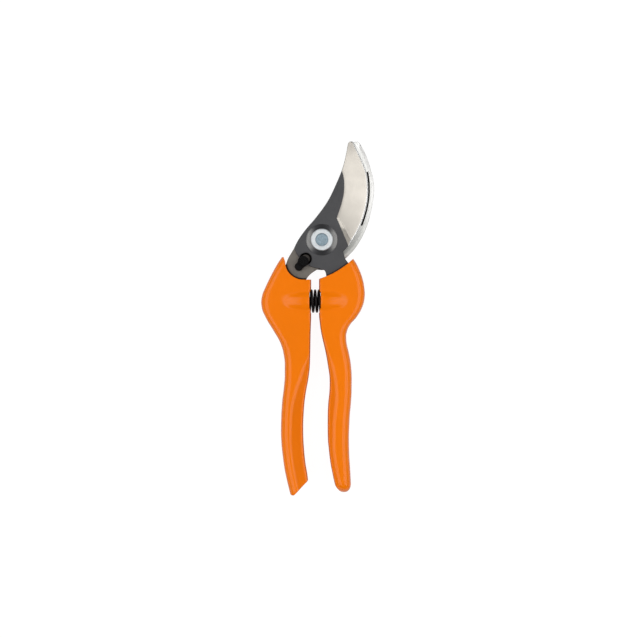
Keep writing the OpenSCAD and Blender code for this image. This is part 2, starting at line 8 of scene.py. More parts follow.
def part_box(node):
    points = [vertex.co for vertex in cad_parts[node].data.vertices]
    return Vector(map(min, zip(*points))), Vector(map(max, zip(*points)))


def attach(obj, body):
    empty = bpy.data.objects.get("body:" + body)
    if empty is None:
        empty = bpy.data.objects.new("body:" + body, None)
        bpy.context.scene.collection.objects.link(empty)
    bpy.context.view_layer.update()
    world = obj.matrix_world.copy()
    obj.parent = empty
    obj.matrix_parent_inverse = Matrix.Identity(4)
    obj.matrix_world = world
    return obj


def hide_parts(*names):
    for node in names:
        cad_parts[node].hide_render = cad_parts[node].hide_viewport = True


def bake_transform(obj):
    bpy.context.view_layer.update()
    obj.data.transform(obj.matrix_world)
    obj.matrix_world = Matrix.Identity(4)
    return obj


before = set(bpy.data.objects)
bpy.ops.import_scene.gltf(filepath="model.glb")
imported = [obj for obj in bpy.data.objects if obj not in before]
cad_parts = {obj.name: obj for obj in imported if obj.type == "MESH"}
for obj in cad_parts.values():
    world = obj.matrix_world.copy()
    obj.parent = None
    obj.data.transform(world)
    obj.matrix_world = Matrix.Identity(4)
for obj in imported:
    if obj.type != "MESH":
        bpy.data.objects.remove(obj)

bl_info = {
    "name": "Bypass pruner",
    "version": (1, 0, 0),
    "blender": (4, 5, 0),
    "location": "View3D > Sidebar > Pruner",
    "description": "Builds the looks of a bypass pruner round its packed frame",
    "category": "Object",
}

# Lengths inside the functions are millimetres, in the frame's own axes: the pivot axis is Z and
# the jaws point to +Y. Finished meshes are scaled to metres.
MM = 0.001


def span(node):
    """Lowest and highest corner of a node in millimetres."""
    low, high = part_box(node)
    return low / MM, high / MM


BLADE_LOW, BLADE_HIGH = span("cutting_blade")
HOOK_LOW, HOOK_HIGH = span("counter_blade")
LEFT_LOW, LEFT_HIGH = span("left_handle")
RIGHT_LOW = span("right_handle")[0]
BOLT_HIGH = span("pivot_bolt")[1]
NUT_HIGH = span("pivot_nut")[1]
WASHER_LOW, WASHER_HIGH = span("pivot_washer")
SPRING_LOW, SPRING_HIGH = span("coil_spring")
THUMB_LOW, THUMB_HIGH = span("catch_thumb_button")
BACK_LOW, BACK_HIGH = span("catch_back_button")

# Names that end in _S are distances from the pivot, in _R radii, in _A angles.
FACE_Z = HOOK_HIGH.z  # where the two blades slide on each other, halfway through the handles
HALF_THK = (LEFT_HIGH.z - LEFT_LOW.z) / 2  # of both handles
LEFT_LEN = -LEFT_LOW.y
RIGHT_LEN = -RIGHT_LOW.y
NECK_S = 48.0  # the handles are scaled to their frame's length below here
SPRING_S = -(SPRING_LOW.y + SPRING_HIGH.y) / 2
POCKET_H = 14.0  # room for the spring in each handle
POCKET_FLOOR = 12.0  # the moulded floor stands a little proud of that room's end
POCKET_R = (SPRING_HIGH.z - SPRING_LOW.z) / 2 + 0.35
POCKET_LOW, POCKET_TOP = -SPRING_S - POCKET_R, -SPRING_S + POCKET_R
PAST_POCKET = POCKET_H + 2  # from a handle's face to where the steel passes behind its pocket
LEFT_FACE = SPRING_LOW.x + POCKET_H  # the inner faces of the handles on both sides of the gap
RIGHT_FACE = SPRING_HIGH.x - POCKET_H
PIVOT = (0, 0)
BORE_R = 3.55
BOSS_R = 16.2  # round part of the cutting blade
HOOK_BOSS_R = 16.9  # and of the counter blade
CATCH_A = math.radians(229.4)  # heading of the line that the catch slides along
CATCH_OUT = (math.cos(CATCH_A), math.sin(CATCH_A))
KNOB_S = 16.0  # middle of the thumb knob
LOBE_S = 19.8  # middle of the rest of the button, over the slot
SLOT_W = 4.2
NOTCH_R = 3.4  # notch in the cutting blade that the catch locks
NOTCH_S = 14.05
MOUTH_R = 10.25  # round of the left handle's mouth, about the knob
RIGHT_MOUTH = (-16.1, 24.4)  # centre of the round of the right handle's mouth
RIGHT_MOUTH_R = 48.6
TIP = (17.4, 54.6)

# ---------- Outlines, from the tip towards the pivot ----------
EDGE = [(17.8, 55.3), (20.4, 49.6), (23.2, 43.5), (25.1, 37.9), (25.9, 31), (25.8, 23.9),
        (24.4, 16.3), (21.9, 8.7), (18.5, 1.9), (15.9, -1.7)]
SPINE = [(14.6, 53.6), (13.3, 46.6), (11.4, 39.6), (8, 31.3), (3.35, 21.8), (-3.1, 12.8),
         (-9.3, 5.5), (-13.2, 0), (-15.55, -4.6)]
BLADE_TIP = [(14.9, 54.7), (15.6, 55.4), (16.6, 55.6)]
GRIND = [(5.6, 50.6), (8.2, 45.6), (10.6, 40.6), (12.2, 35.4), (12.6, 30.3), (12.2, 25.2),
         (11.0, 19.9), (9.7, 16), (8.4, 12.2)]
HEEL = [(8.4, 12.2), (15.1, -3.6)]
HEEL_FOOT = [(9.5, 12), (16.8, -0.8)]
HOOK_OUTER = [(22.2, 53.2), (25.2, 47.3), (27.8, 39.4), (29.4, 32.2), (29.4, 26), (28.4, 19.2),
              (26.4, 10.6), (23.2, 2.6), (18.6, -4.9), (13.4, -10.3)]
HOOK_TIP = [(18.4, 55.3), (20.1, 55.4), (21.3, 54.6)]
HOOK_INNER = [(17.2, 54.2), (20.8, 47.2), (22.8, 39), (23.2, 30), (21.4, 21.6), (16.6, 14.6),
              (10, 11.2)]
BLADE_TANG_OUT = [(18.2, -19), (20.4, -26), (20.2, -34), (17, -41.5), (12, -47.5), (10.4, -55),
                  (12.2, -66), (13.6, -76)]
BLADE_TANG_IN = [(12.4, -80), (9.4, -80), (8, -76), (6, -66), (3.6, -56), (4.4, -48.5)]
HOOK_TANG_OUT = [(-15.6, -4.6), (-18.9, -10.2), (-20.7, -14.6), (-25.6, -21.4), (-29, -28),
                 (-29.6, -36), (-26.4, -44), (-20.6, -52.5), (-17.4, -62), (-17.4, -72),
                 (-18.4, -80)]
HOOK_TANG_IN = [(-17, -84), (-14, -84), (-12.4, -80), (-11, -72), (-9.6, -62), (-10.4, -51)]

# Handle stations are (distance below the pivot, x); inner and crease lines count from the face.
LEFT_OUTER = [(9.2, -22.2), (13.5, -25.1), (20.3, -28.8), (27, -32), (31, -33.6), (34.8, -34.2),
              (38.5, -33.8), (44, -31.5), (50.7, -27.5), (57.5, -23.6), (62.5, -21.9), (70, -20.9),
              (76, -20.9), (83, -21.4), (91.3, -22.4), (100, -22.9), (108.2, -23.05),
              (115, -22.75), (121.7, -22.05), (128.5, -21.1), (135.2, -19.7), (142, -18.05),
              (148, -16.4)]
LEFT_INNER = [(9.2, 0), (42, 0), (52, -0.3), (64, -0.52), (71, -0.75), (78, -1.55), (84.5, -2.75),
              (91, -3.7), (98, -4.25), (105, -4.5), (110, -4.45), (118, -4), (125, -3.3),
              (132, -2.15), (136, -1.7), (148, -0.9)]
LEFT_CREASE = [(9.2, 0), (58, 0), (63, -0.9), (73, -4.4), (85, -8.7), (97, -11.1), (112, -11.6),
               (127, -10.2), (138, -8), (148, -6.2)]
RIGHT_OUTER = [(9.8, 17.2), (13.5, 19.6), (20.3, 22.5), (25, 23.7), (30.4, 24.25), (34, 23.9),
               (38.5, 22.5), (44, 19.2), (47.3, 16.2), (50.7, 14.4), (54.1, 13.7), (57.5, 13.9),
               (64.2, 15.35), (71, 16.45), (77.8, 16.85), (84.5, 16.8), (91.3, 16.45), (98, 15.8),
               (104.8, 15.45), (111.5, 15.25), (118.3, 15.35), (131.8, 16.1), (142, 16.6)]
RIGHT_INNER = [(9.8, 0), (41.5, 0), (47.3, 0.5), (50.7, 0.95), (54.1, 1.6), (57.5, 2.4),
               (64.2, 3.9), (71, 5.05), (77.8, 5.95), (81, 6), (86, 5.8), (91.3, 5.25), (98, 4.9),
               (104.8, 4.85), (111.5, 4.95), (118.3, 5.55), (125, 6.35), (131.8, 7.65),
               (142, 9.9)]
RIGHT_CREASE = [(9.8, 0), (44, 0), (48.5, 1), (60, 4.2), (73, 8.1), (81, 9.4), (88, 9.8),
                (96, 9.1), (104, 8.3), (116, 8.2), (124, 9), (131, 10.3), (142, 12.9)]
CREST = [(9, 0.6), (20, 0.76), (30, 0.77), (44, 0.77), (52, 0.8), (65, 0.86), (80, 0.94), (100, 1),
         (125, 0.99), (145, 0.9)]
BARREL = [(0, 1), (3, 1), (12, 0.54), (15, 0)]
INNER_HEIGHT = [(9, 0.54), (20, 0.75), (30, 0.78), (42, 0.78), (62, 0.74), (75, 0.64), (88, 0.5),
                (100, 0.42), (145, 0.42)]


# ---------- Colours and node trees ----------
def linear(hex_colour):
    """Scene-linear red, green and blue of an sRGB hex colour."""
    parts = [int(hex_colour[i:i + 2], 16) / 255 for i in (1, 3, 5)]
    return tuple(c / 12.92 if c <= 0.04045 else ((c + 0.055) / 1.055) ** 2.4 for c in parts)


def node(tree, kind, inputs=None, **settings):
    """Adds a node, sets its properties, and fills or links its inputs."""
    made = tree.nodes.new(kind)
    for name, value in settings.items():
        setattr(made, name, value)
    for key, value in (inputs or {}).items():
        if isinstance(value, bpy.types.NodeSocket):
            tree.links.new(value, made.inputs[key])
        else:
            made.inputs[key].default_value = value
    return made


def first(tree, kind, inputs=None, **settings):
    """The first output of a new node."""
    return node(tree, kind, inputs, **settings).outputs[0]


def per_mm(size):
    """Texture scale that repeats every so many millimetres, on coordinates in metres."""
    return 1 / (size * MM)


def maths(tree, operation, *given):
    """The number that a maths node makes of its inputs."""
    return first(tree, "ShaderNodeMath", dict(enumerate(given)), operation=operation)


def vectors(tree, operation, *given):
    """The vector that a vector maths node makes of its inputs."""
    return first(tree, "ShaderNodeVectorMath", dict(enumerate(given)), operation=operation)


def ranged(tree, given, low, high, to_low=0.0, to_high=1.0, curve="LINEAR"):
    """A value carried from one range to another."""
    return first(tree, "ShaderNodeMapRange",
                 {"Value": given, "From Min": low, "From Max": high, "To Min": to_low,
                  "To Max": to_high}, interpolation_type=curve)


def noise(tree, coords, scale, detail=2.0, roughness=0.5):
    """A share that wanders over the surface."""
    return node(tree, "ShaderNodeTexNoise", {"Vector": coords, "Scale": scale, "Detail": detail,
                                             "Roughness": roughness}).outputs["Fac"]


def bumped(tree, height, strength, depth):
    """The normal of a surface that a height lifts by up to some millimetres."""
    return first(tree, "ShaderNodeBump",
                 {"Height": height, "Strength": strength, "Distance": depth * MM})


def mixed(tree, share, start, end):
    """A colour that goes from one to another, sockets or values, with the share."""
    ends = [c if isinstance(c, bpy.types.NodeSocket) else (*c, 1) for c in (start, end)]
    return node(tree, "ShaderNodeMix", {0: share, 6: ends[0], 7: ends[1]},
                data_type="RGBA").outputs[2]


def shaded(tree, share, colour, low, high):
    """A colour that goes from a darker to a lighter tone of itself with the share."""
    return mixed(tree, share, [c * low for c in colour], [min(1, c * high) for c in colour])


def ringed(tree, coords, centre, near, far):
    """0 nearer than one distance from an upright axis, 1 past another, in millimetres."""
    off = vectors(tree, "ADD", coords, (-centre[0] * MM, -centre[1] * MM, 0))
    flat = vectors(tree, "MULTIPLY", off, (1, 1, 0))
    reach = node(tree, "ShaderNodeVectorMath", {0: flat}, operation="LENGTH").outputs["Value"]
    return ranged(tree, reach, near * MM, far * MM, curve="SMOOTHSTEP")


def new_material(name):
    """An empty node material, its tree and its object coordinates."""
    old = bpy.data.materials.get(name)
    if old:
        bpy.data.materials.remove(old)
    made = bpy.data.materials.new(name)
    made.use_nodes = True
    made.node_tree.nodes.clear()
    coords = node(made.node_tree, "ShaderNodeTexCoord").outputs["Object"]
    return made, made.node_tree, coords


def close_tree(tree, inputs):
    """Ends a material's tree in the shader with these inputs."""
    shader = first(tree, "ShaderNodeBsdfPrincipled", inputs)
    node(tree, "ShaderNodeOutputMaterial", {"Surface": shader})


def grained(tree, skin, grain, gloss, strength, depth, inputs):
    """Ends a tree whose grain varies its gloss between two values and roughens its surface."""
    close_tree(tree, {"Base Color": skin, "Roughness": ranged(tree, grain, 0.3, 0.7, *gloss),
                      "Normal": bumped(tree, grain, strength, depth), **inputs})


def moulded_nylon(name, gloss, sheen):
    """Glass-filled nylon, injection moulded in a finely spark-eroded mould: an even, saturated
    orange with a soft sheen, broken by grain too fine to see as dots."""
    made, tree, coords = new_material(name)
    flow = noise(tree, coords, per_mm(28), 3.0)
    # The real grain is 0.1 mm; 0.35 mm is the finest that still shows.
    grain = noise(tree, coords, per_mm(0.35), 2.0, 0.6)
    tint = shaded(tree, flow, bpy.context.scene.pruner_colours.grip, 0.95, 1.05)
    # Painted shade: walls that face sideways are darker than what faces up.
    normal = node(tree, "ShaderNodeTexCoord").outputs["Normal"]
    upright = maths(tree, "ABSOLUTE",
                    node(tree, "ShaderNodeSeparateXYZ", {0: normal}).outputs["Z"])
    painted_side_shade = ranged(tree, upright, 0.05, 0.7, 0.55, 1.0)
    skin = first(tree, "ShaderNodeVectorMath", {0: tint, "Scale": painted_side_shade}, operation="SCALE")
    grained(tree, skin, grain, gloss, 0.10, 0.05,
            {"IOR": 1.53, "Specular IOR Level": sheen})
    return made


def grip_nylons():
    """The handles' nylon as moulded, and scuffed matt on the walls that the mould draws along."""
    return [moulded_nylon("orange_glass_filled_nylon", (0.18, 0.24), 0.22),
            moulded_nylon("scuffed_orange_nylon", (0.6, 0.7), 0.02)]


def coated_steel():
    """Carbon steel with a baked fluoropolymer coat, sprayed: dark grey, matt and slightly
    speckled, with a little of the steel's glint through it."""
    made, tree, coords = new_material("coated_carbon_steel")
    cloud = noise(tree, coords, per_mm(9), 4.0, 0.6)
    speckle = noise(tree, coords, per_mm(0.4), 2.0, 0.7)
    tint = shaded(tree, cloud, bpy.context.scene.pruner_colours.coat, 0.8, 1.25)
    # Painted shadow: a dark line on the plate where it goes into the handle.
    mouth = ringed(tree, coords, RIGHT_MOUTH, RIGHT_MOUTH_R - 1.0, RIGHT_MOUTH_R - 0.3)
    grained(tree, mixed(tree, mouth, tint, linear("#15110E")), speckle, (0.42, 0.56), 0.14, 0.05,
            {"IOR": 1.5, "Metallic": 0.35})
    return made


def ground_steel(name, colour, grit, gloss, turn, tones_and_shade=()):
    """Hardened carbon steel, bare from the grinding wheel: a pale satin metal with fine lines
    along the stroke of the wheel, which smear every reflection sideways."""
    made, tree, coords = new_material(name)
    # Lines of the real grit are 0.05 mm apart; they are drawn coarser so that they show.
    lay = first(tree, "ShaderNodeMapping",
                {"Vector": coords, "Rotation": (0, 0, math.radians(turn)),
                 "Scale": (per_mm(grit), per_mm(grit * 40), per_mm(grit * 40))})
    lines = noise(tree, lay, 1.0, 3.0, 0.65)
    cloud = noise(tree, coords, per_mm(7))
    share = ranged(tree, maths(tree, "ADD", lines, cloud), 0.7, 1.3)
    skin = shaded(tree, share, colour, 0.88, 1.08)
    # Rings of another colour: plain tones, and painted shade where a caller asks for it.
    for centre, near, far, ring_colour in tones_and_shade:
        skin = mixed(tree, ringed(tree, coords, centre, near, far), skin, ring_colour)
    grained(tree, skin, lines, gloss, 0.12, 0.03, {"Metallic": 1.0, "Anisotropic": 0.4})
    return made


def bevel_steel():
    """The bevel is greyer towards the pivot and near its tip."""
    colour = bpy.context.scene.pruner_colours.bevel
    return ground_steel("ground_bevel_steel", colour, 0.16, (0.28, 0.38), 12,
                        [(PIVOT, 34, 8, [c * 0.7 for c in colour]),
                         (TIP, 8, 2, [c * 0.78 for c in colour])])


def honed_steel():
    """The edge is honed by hand on a stone, so it is the brightest steel on the tool."""
    return ground_steel("honed_edge_steel", (0.95, 0.95, 0.94), 0.12, (0.42, 0.52), 12)


def hook_steel():
    """The hook's tint is greyer towards the pivot."""
    return ground_steel("ground_hook_steel", bpy.context.scene.pruner_colours.hook, 0.18,
                        (0.42, 0.55), 25, [(PIVOT, 34, 14, linear("#B0B0AC"))])


def chamfer_steel():
    """The hook's outer chamfer comes off a coarser wheel and is greyer than its flat."""
    return ground_steel("chamfered_hook_steel", linear("#E8E7E5"), 0.25, (0.45, 0.58), 60,
                        [(PIVOT, 40, 16, linear("#BABAB6"))])


def facet_steel():
    """The short facet at the heel is left by the wheel's edge: pale, even and rough."""
    return ground_steel("heel_facet_steel", linear("#D6D1C8"), 0.2, (0.55, 0.65), -65)


def base_steel():
    """Painted shade darkens the base round the catch's notch, under the knob, and a painted shadow
    lines the handle's mouth.
    """
    track, knob = catch_at(NOTCH_S), catch_at(KNOB_S)
    return ground_steel("rolled_base_steel", linear("#87827B"), 0.2, (0.35, 0.5), 25, [
        (track, NOTCH_R + 0.5, NOTCH_R + 0.1, linear("#0C0B0A")),
        (track, 2.6, 2.3, linear("#55514D")),
        (knob, MOUTH_R - 1.3, MOUTH_R - 0.4, linear("#1C1610"))])


def turned_steel():
    """The bed turned into the coated blade: a fine spiral of tool marks that fans every light
    out across the marks, bright beside the bolt and dark above and below it. That dark is also
    painted into its colour as painted shade."""
    made, tree, coords = new_material("turned_bed_steel")
    marks = node(tree, "ShaderNodeTexWave",
                 {"Vector": coords, "Scale": per_mm(1.6), "Distortion": 0.4, "Detail": 2.0},
                 wave_type="RINGS", rings_direction="Z").outputs["Fac"]
    tint = mixed(tree, marks, linear("#565658"), linear("#A5A4A1"))
    # Light spreads across the marks, along the radius.
    across = vectors(tree, "MULTIPLY", coords, (1, 1, 0))
    along = first(tree, "ShaderNodeVectorTransform", {0: across}, convert_from="OBJECT",
                  convert_to="WORLD", vector_type="VECTOR")
    # Painted shade: ahead of the bolt and behind it the colour is darker, where the fan of light
    # leaves it.
    heading = vectors(tree, "NORMALIZE", across)
    ahead = node(tree, "ShaderNodeSeparateXYZ", {0: heading}).outputs["Y"]
    painted_fan_shade = ranged(tree, maths(tree, "ABSOLUTE", ahead), 0.45, 0.9, curve="SMOOTHSTEP")
    close_tree(tree, {"Base Color": mixed(tree, painted_fan_shade, tint, linear("#4E4E50")),
                      "Roughness": 0.36, "Normal": bumped(tree, marks, 0.1, 0.03),
                      "Metallic": 0.8, "Anisotropic": 0.85, "Tangent": along})
    return made


def plain_finish(name, colour, metallic, gloss, grain_size, strength, ior=1.5, spread=0.18):
    """A finish with an even colour and a fine grain that varies its gloss."""
    made, tree, coords = new_material(name)
    grain = noise(tree, coords, per_mm(grain_size), 4.0, 0.6)
    inputs = {"Metallic": metallic}
    if metallic < 1:
        inputs |= {"IOR": ior, "Specular IOR Level": 0.12}
    grained(tree, shaded(tree, grain, colour, 1 - spread, 1 + spread), grain, gloss, strength,
            0.05, inputs)
    return made


def groove_black():
    """The sap groove is coloured a dull, nearly black steel."""
    return plain_finish("dark_groove_steel", linear("#2A2928"), 0.3, (0.5, 0.7), 0.5, 0.1)


# ---------- Curves ----------
def unit(x, y):
    length = math.hypot(x, y) or 1.0
    return x / length, y / length


def smooth(points, steps=8):
    """Smooth curve through a list of points, with some steps from each point to the next."""
    last = len(points) - 1
    out = []
    for i in range(last):
        a, b, c, d = (points[max(i - 1, 0)], points[i], points[i + 1], points[min(i + 2, last)])
        for k in range(steps):
            t = k / steps
            out.append(tuple(0.5 * (2 * b[m] + (c[m] - a[m]) * t
                                    + (2 * a[m] - 5 * b[m] + 4 * c[m] - d[m]) * t * t
                                    + (3 * b[m] - a[m] - 3 * c[m] + d[m]) * t ** 3)
                             for m in (0, 1)))
    return out + [tuple(points[last])]


def beside(points, width):
    """The same curve moved sideways to the right of its direction of travel."""
    out = []
    last = len(points) - 1
    for i, (x, y) in enumerate(points):
        dx, dy = unit(points[min(i + 1, last)][0] - points[max(i - 1, 0)][0],
                      points[min(i + 1, last)][1] - points[max(i - 1, 0)][1])
        out.append((x + width * dy, y - width * dx))
    return out


def arc(radius, start, end, steps, centre=(0, 0)):
    """Points round a centre between two angles in degrees."""
    out = []
    for k in range(steps + 1):
        a = math.radians(start + (end - start) * k / steps)
        out.append((centre[0] + radius * math.cos(a), centre[1] + radius * math.sin(a)))
    return out


def round_loop(radius, steps, centre=(0, 0)):
    """A closed circle's points."""
    return arc(radius, 0, 360 * (steps - 1) / steps, steps - 1, centre)


def straight(start, end, steps=10):
    """Evenly spaced points from one point to another."""
    return [(start[0] + (end[0] - start[0]) * k / steps,
             start[1] + (end[1] - start[1]) * k / steps) for k in range(steps + 1)]


def value(curve, s):
    """Height of a smooth curve through (s, height) stations that never swings past one."""
    last = len(curve) - 1
    s = min(max(s, curve[0][0]), curve[last][0])
    i = 0
    while i < last - 1 and s >= curve[i + 1][0]:
        i += 1

    def rise(k):
        return (curve[k + 1][1] - curve[k][1]) / (curve[k + 1][0] - curve[k][0])

    def slope(k):
        a, b = rise(max(k - 1, 0)), rise(min(k, last - 1))
        return 0 if a * b <= 0 else 2 * a * b / (a + b)

    h = curve[i + 1][0] - curve[i][0]
    t = (s - curve[i][0]) / h
    return ((1 + 2 * t) * (1 - t) ** 2 * curve[i][1] + t * (1 - t) ** 2 * h * slope(i)
            + t * t * (3 - 2 * t) * curve[i + 1][1] + t * t * (t - 1) * h * slope(i + 1))


def distance(point, line):
    """Shortest distance from a point to an open line of points."""
    best = 1e9
    px, py = point
    for (ax, ay), (bx, by) in zip(line, line[1:]):
        dx, dy = bx - ax, by - ay
        t = max(0.0, min(1.0, ((px - ax) * dx + (py - ay) * dy) / (dx * dx + dy * dy or 1)))
        best = min(best, (px - ax - t * dx) ** 2 + (py - ay - t * dy) ** 2)
    return math.sqrt(best)


def within(point, loops):
    """Whether a point lies inside a region bounded by closed loops."""
    x, y = point
    crossings = False
    for loop in loops:
        for (ax, ay), (bx, by) in zip(loop, loop[1:] + loop[:1]):
            if (ay > y) != (by > y) and x < ax + (y - ay) * (bx - ax) / (by - ay):
                crossings = not crossings
    return crossings


def facing(loop, sign):
    """The loop, run anticlockwise for sign 1 and clockwise for sign -1."""
    area = sum(a[0] * b[1] - b[0] * a[1] for a, b in zip(loop, loop[1:] + loop[:1]))
    return loop if area * sign > 0 else loop[::-1]


def moved_in(loop, widths):
    """A closed loop moved to the left of its direction of travel, with mitred corners."""
    out = []
    count = len(loop)
    for i in range(count):
        (ax, ay), (bx, by), (cx, cy) = loop[i - 1], loop[i], loop[(i + 1) % count]
        ux, uy = unit(bx - ax, by - ay)
        vx, vy = unit(cx - bx, cy - by)
        mitre = max(0.5, 1 + ux * vx + uy * vy)
        w = widths[i] / mitre
        out.append((bx - (uy + vy) * w, by + (ux + vx) * w))
    return out


def catch_at(s):
    """The point at a distance from the pivot along the catch's line."""
    return CATCH_OUT[0] * s, CATCH_OUT[1] * s


def along_catch(points):
    """Places of points given by their distances along and across the catch's line."""
    return [(CATCH_OUT[0] * u - CATCH_OUT[1] * v, CATCH_OUT[1] * u + CATCH_OUT[0] * v)
            for u, v in points]


def bar(start, end, radius, steps=16):
    """Outline with round ends between two distances along the catch's line."""
    return along_catch(arc(radius, -90, 90, steps, (end, 0))
                       + arc(radius, 90, 270, steps, (start, 0)))


# ---------- Mesh building ----------
CREASE_GAP = 0.25  # points of a crease that lie nearer to an outline are left out
CREASE_REACH = 1.2  # the ends of a crease are joined to an outline within this
POINT_GAP = 0.3  # loose points that lie nearer to an outline are left out
POINT_CREASE_GAP = 0.2  # and nearer to a crease


class Shape:
    """Points, faces and sharp edges gathered for one mesh."""

    def __init__(self):
        self.points, self.faces, self.slots, self.sharp = [], [], [], set()

    def point(self, x, y, z):
        self.points.append((x, y, z))
        return len(self.points) - 1

    def ring(self, line, heights):
        return [self.point(x, y, z) for (x, y), z in zip(line, heights)]

    def face(self, corners, slot=0):
        self.faces.append(tuple(corners))
        self.slots.append(slot)

    def band(self, low, high, slot_at=lambda x, y: 0, closed=True):
        """Quads between two rings; their outer side is to the right of the direction of travel."""
        count = len(low)
        for i in range(count if closed else count - 1):
            j = (i + 1) % count
            ax, ay, _ = self.points[low[i]]
            bx, by, _ = self.points[low[j]]
            self.face((low[i], low[j], high[j], high[i]), slot_at((ax + bx) / 2, (ay + by) / 2))

    def fill(self, rings, z_at, slot_at=lambda x, y: 0, creases=(), inner=(), up=True):
        """Triangles over the region between rings, with crease lines and loose inner points."""
        flat, index, edges = [], [], []
        for ring in rings:
            base = len(flat)
            flat += [self.points[i][:2] for i in ring]
            index += ring
            edges += [(base + k, base + (k + 1) % len(ring)) for k in range(len(ring))]
        loops = [[self.points[i][:2] for i in ring] for ring in rings]
        closed = [loop + loop[:1] for loop in loops]
        border, border_edges = len(flat), len(edges)
        kept_creases = []
        for line in creases:
            kept = [p for p in line
                    if within(p, loops) and min(distance(p, c) for c in closed) > CREASE_GAP]
            kept_creases.append(kept)
            ends = []
            for p in (kept[0], kept[-1]):
                near = min(range(border),
                           key=lambda k: (flat[k][0] - p[0]) ** 2 + (flat[k][1] - p[1]) ** 2)
                ends.append(near if math.dist(flat[near], p) < CREASE_REACH else None)
            base = len(flat)
            flat += kept
            chain = [k for k in (ends[0], *range(base, base + len(kept)), ends[1])
                     if k is not None]
            edges += list(zip(chain, chain[1:]))
        for p in inner:
            if (within(p, loops) and min(distance(p, c) for c in closed) > POINT_GAP
                    and all(distance(p, line) > POINT_CREASE_GAP for line in kept_creases)):
                flat.append(p)
        verts, made_edges, made, from_verts, from_edges, _ = delaunay_2d_cdt(
            [Vector(p) for p in flat], edges, [], 0, 1e-6)
        place = []
        for v, sources in zip(verts, from_verts):
            ring_points = [k for k in sources if k < border]
            place.append(index[ring_points[0]] if ring_points
                         else self.point(v.x, v.y, z_at(v.x, v.y)))
        for a, b, c in made:
            x = (verts[a].x + verts[b].x + verts[c].x) / 3
            y = (verts[a].y + verts[b].y + verts[c].y) / 3
            if not within((x, y), loops):
                continue
            turn = (verts[b] - verts[a]).cross(verts[c] - verts[a])
            if (turn > 0) != up:
                b, c = c, b
            self.face((place[a], place[b], place[c]), slot_at(x, y))
        for (a, b), sources in zip(made_edges, from_edges):
            if any(k >= border_edges for k in sources):
                self.sharp.add(frozenset((place[a], place[b])))

    def mesh(self, name, materials, angle=30):
        """The finished object, in metres, smooth but for its sharp edges."""
        mesh = bpy.data.meshes.new(name)
        mesh.from_pydata([(x * MM, y * MM, z * MM) for x, y, z in self.points], [], self.faces)
        for m in materials:
            mesh.materials.append(m)
        mesh.polygons.foreach_set("material_index", self.slots)
        mesh.polygons.foreach_set("use_smooth", [True] * len(self.faces))
        mesh.update()
        mesh.set_sharp_from_angle(angle=math.radians(angle))
        for edge in mesh.edges:
            if frozenset(edge.vertices) in self.sharp:
                edge.use_edge_sharp = True
        mesh.validate()
        made = bpy.data.objects.new(name, mesh)
        bpy.context.scene.collection.objects.link(made)
        return made


def revolved(name, profile, materials, slots=None, steps=96, angle=30, cap=True):
    """A profile of (radius, height) turned about the pivot axis, from its top to its bottom."""
    shape = Shape()
    rings = []
    for r, z in profile:
        if r < 1e-6:
            rings.append([shape.point(0, 0, z)])
        else:
            rings.append([shape.point(r * math.cos(math.tau * k / steps),
                                      r * math.sin(math.tau * k / steps), z)
                          for k in range(steps)])
    pairs = list(zip(rings, rings[1:]))
    if not cap:
        pairs.append((rings[-1], rings[0]))
    for n, (high, low) in enumerate(pairs):
        slot = slots[n] if slots else 0
        for k in range(steps):
            j = (k + 1) % steps
            if len(high) == 1:
                shape.face((high[0], low[k], low[j]), slot)
            elif len(low) == 1:
                shape.face((high[k], low[0], high[j]), slot)
            else:
                shape.face((low[k], low[j], high[j], high[k]), slot)
    return shape.mesh(name, materials, angle)


def combined(target, cutter, operation, angle=30):
    """Applies a Boolean and removes the cutter."""
    modifier = target.modifiers.new("cut", "BOOLEAN")
    modifier.operation = operation
    modifier.solver = "EXACT"
    modifier.object = cutter
    result = plain_mesh(target)
    result.set_sharp_from_angle(angle=math.radians(angle))
    bpy.data.objects.remove(cutter)
    return target


def plain_mesh(target):
    """Turns an object's evaluated modifiers into its own mesh."""
    depsgraph = bpy.context.evaluated_depsgraph_get()
    depsgraph.update()
    result = bpy.data.meshes.new_from_object(target.evaluated_get(depsgraph),
                                             preserve_all_data_layers=True, depsgraph=depsgraph)
    old = target.data
    target.modifiers.clear()
    target.data = result
    result.name = old.name
    bpy.data.meshes.remove(old)
    return result


def slab(name, outline, low, high, materials, break_width=0.2, holes=(), sinks=(), top_at=None,
         slot_at=lambda x, y: 0, wall_slot_at=lambda x, y: 0, creases=(), inner=(), sink_slot=0):
    """A plate with broken edges. Holes go through it; sinks are (loop, depth) recesses."""
    shape = Shape()
    top_at = top_at or (lambda x, y: high)
    top_rings, low_rings = [], []
    for loop in [facing(outline, 1)] + [facing(h, -1) for h in holes]:
        tops = [top_at(x, y) for x, y in loop]
        breaks = [min(break_width, (z - low) * 0.3) for z in tops]
        inset = moved_in(loop, breaks)
        a = shape.ring(inset, [low] * len(loop))
        b = shape.ring(loop, [low + w for w in breaks])
        c = shape.ring(loop, [z - w for z, w in zip(tops, breaks)])
        d = shape.ring(inset, [top_at(x, y) for x, y in inset])
        shape.band(a, b, wall_slot_at)
        shape.band(b, c, wall_slot_at)
        shape.band(c, d, wall_slot_at)
        low_rings.append(a)
        top_rings.append(d)
    for loop, depth in sinks:
        loop = facing(loop, -1)
        tops = [top_at(x, y) for x, y in loop]
        lip = min(break_width, depth * 0.3)
        rim = shape.ring(moved_in(loop, [lip] * len(loop)), tops)
        edge = shape.ring(loop, [z - lip for z in tops])
        foot = shape.ring(loop, [z - depth for z in tops])
        shape.band(edge, rim, lambda x, y: sink_slot)
        shape.band(foot, edge, lambda x, y: sink_slot)
        top_rings.append(rim)
        shape.fill([foot], lambda x, y, d=depth: top_at(x, y) - d, lambda x, y: sink_slot)
    shape.fill(top_rings, top_at, slot_at, creases, inner)
    shape.fill(low_rings, lambda x, y: low, up=False)
    return shape.mesh(name, materials)


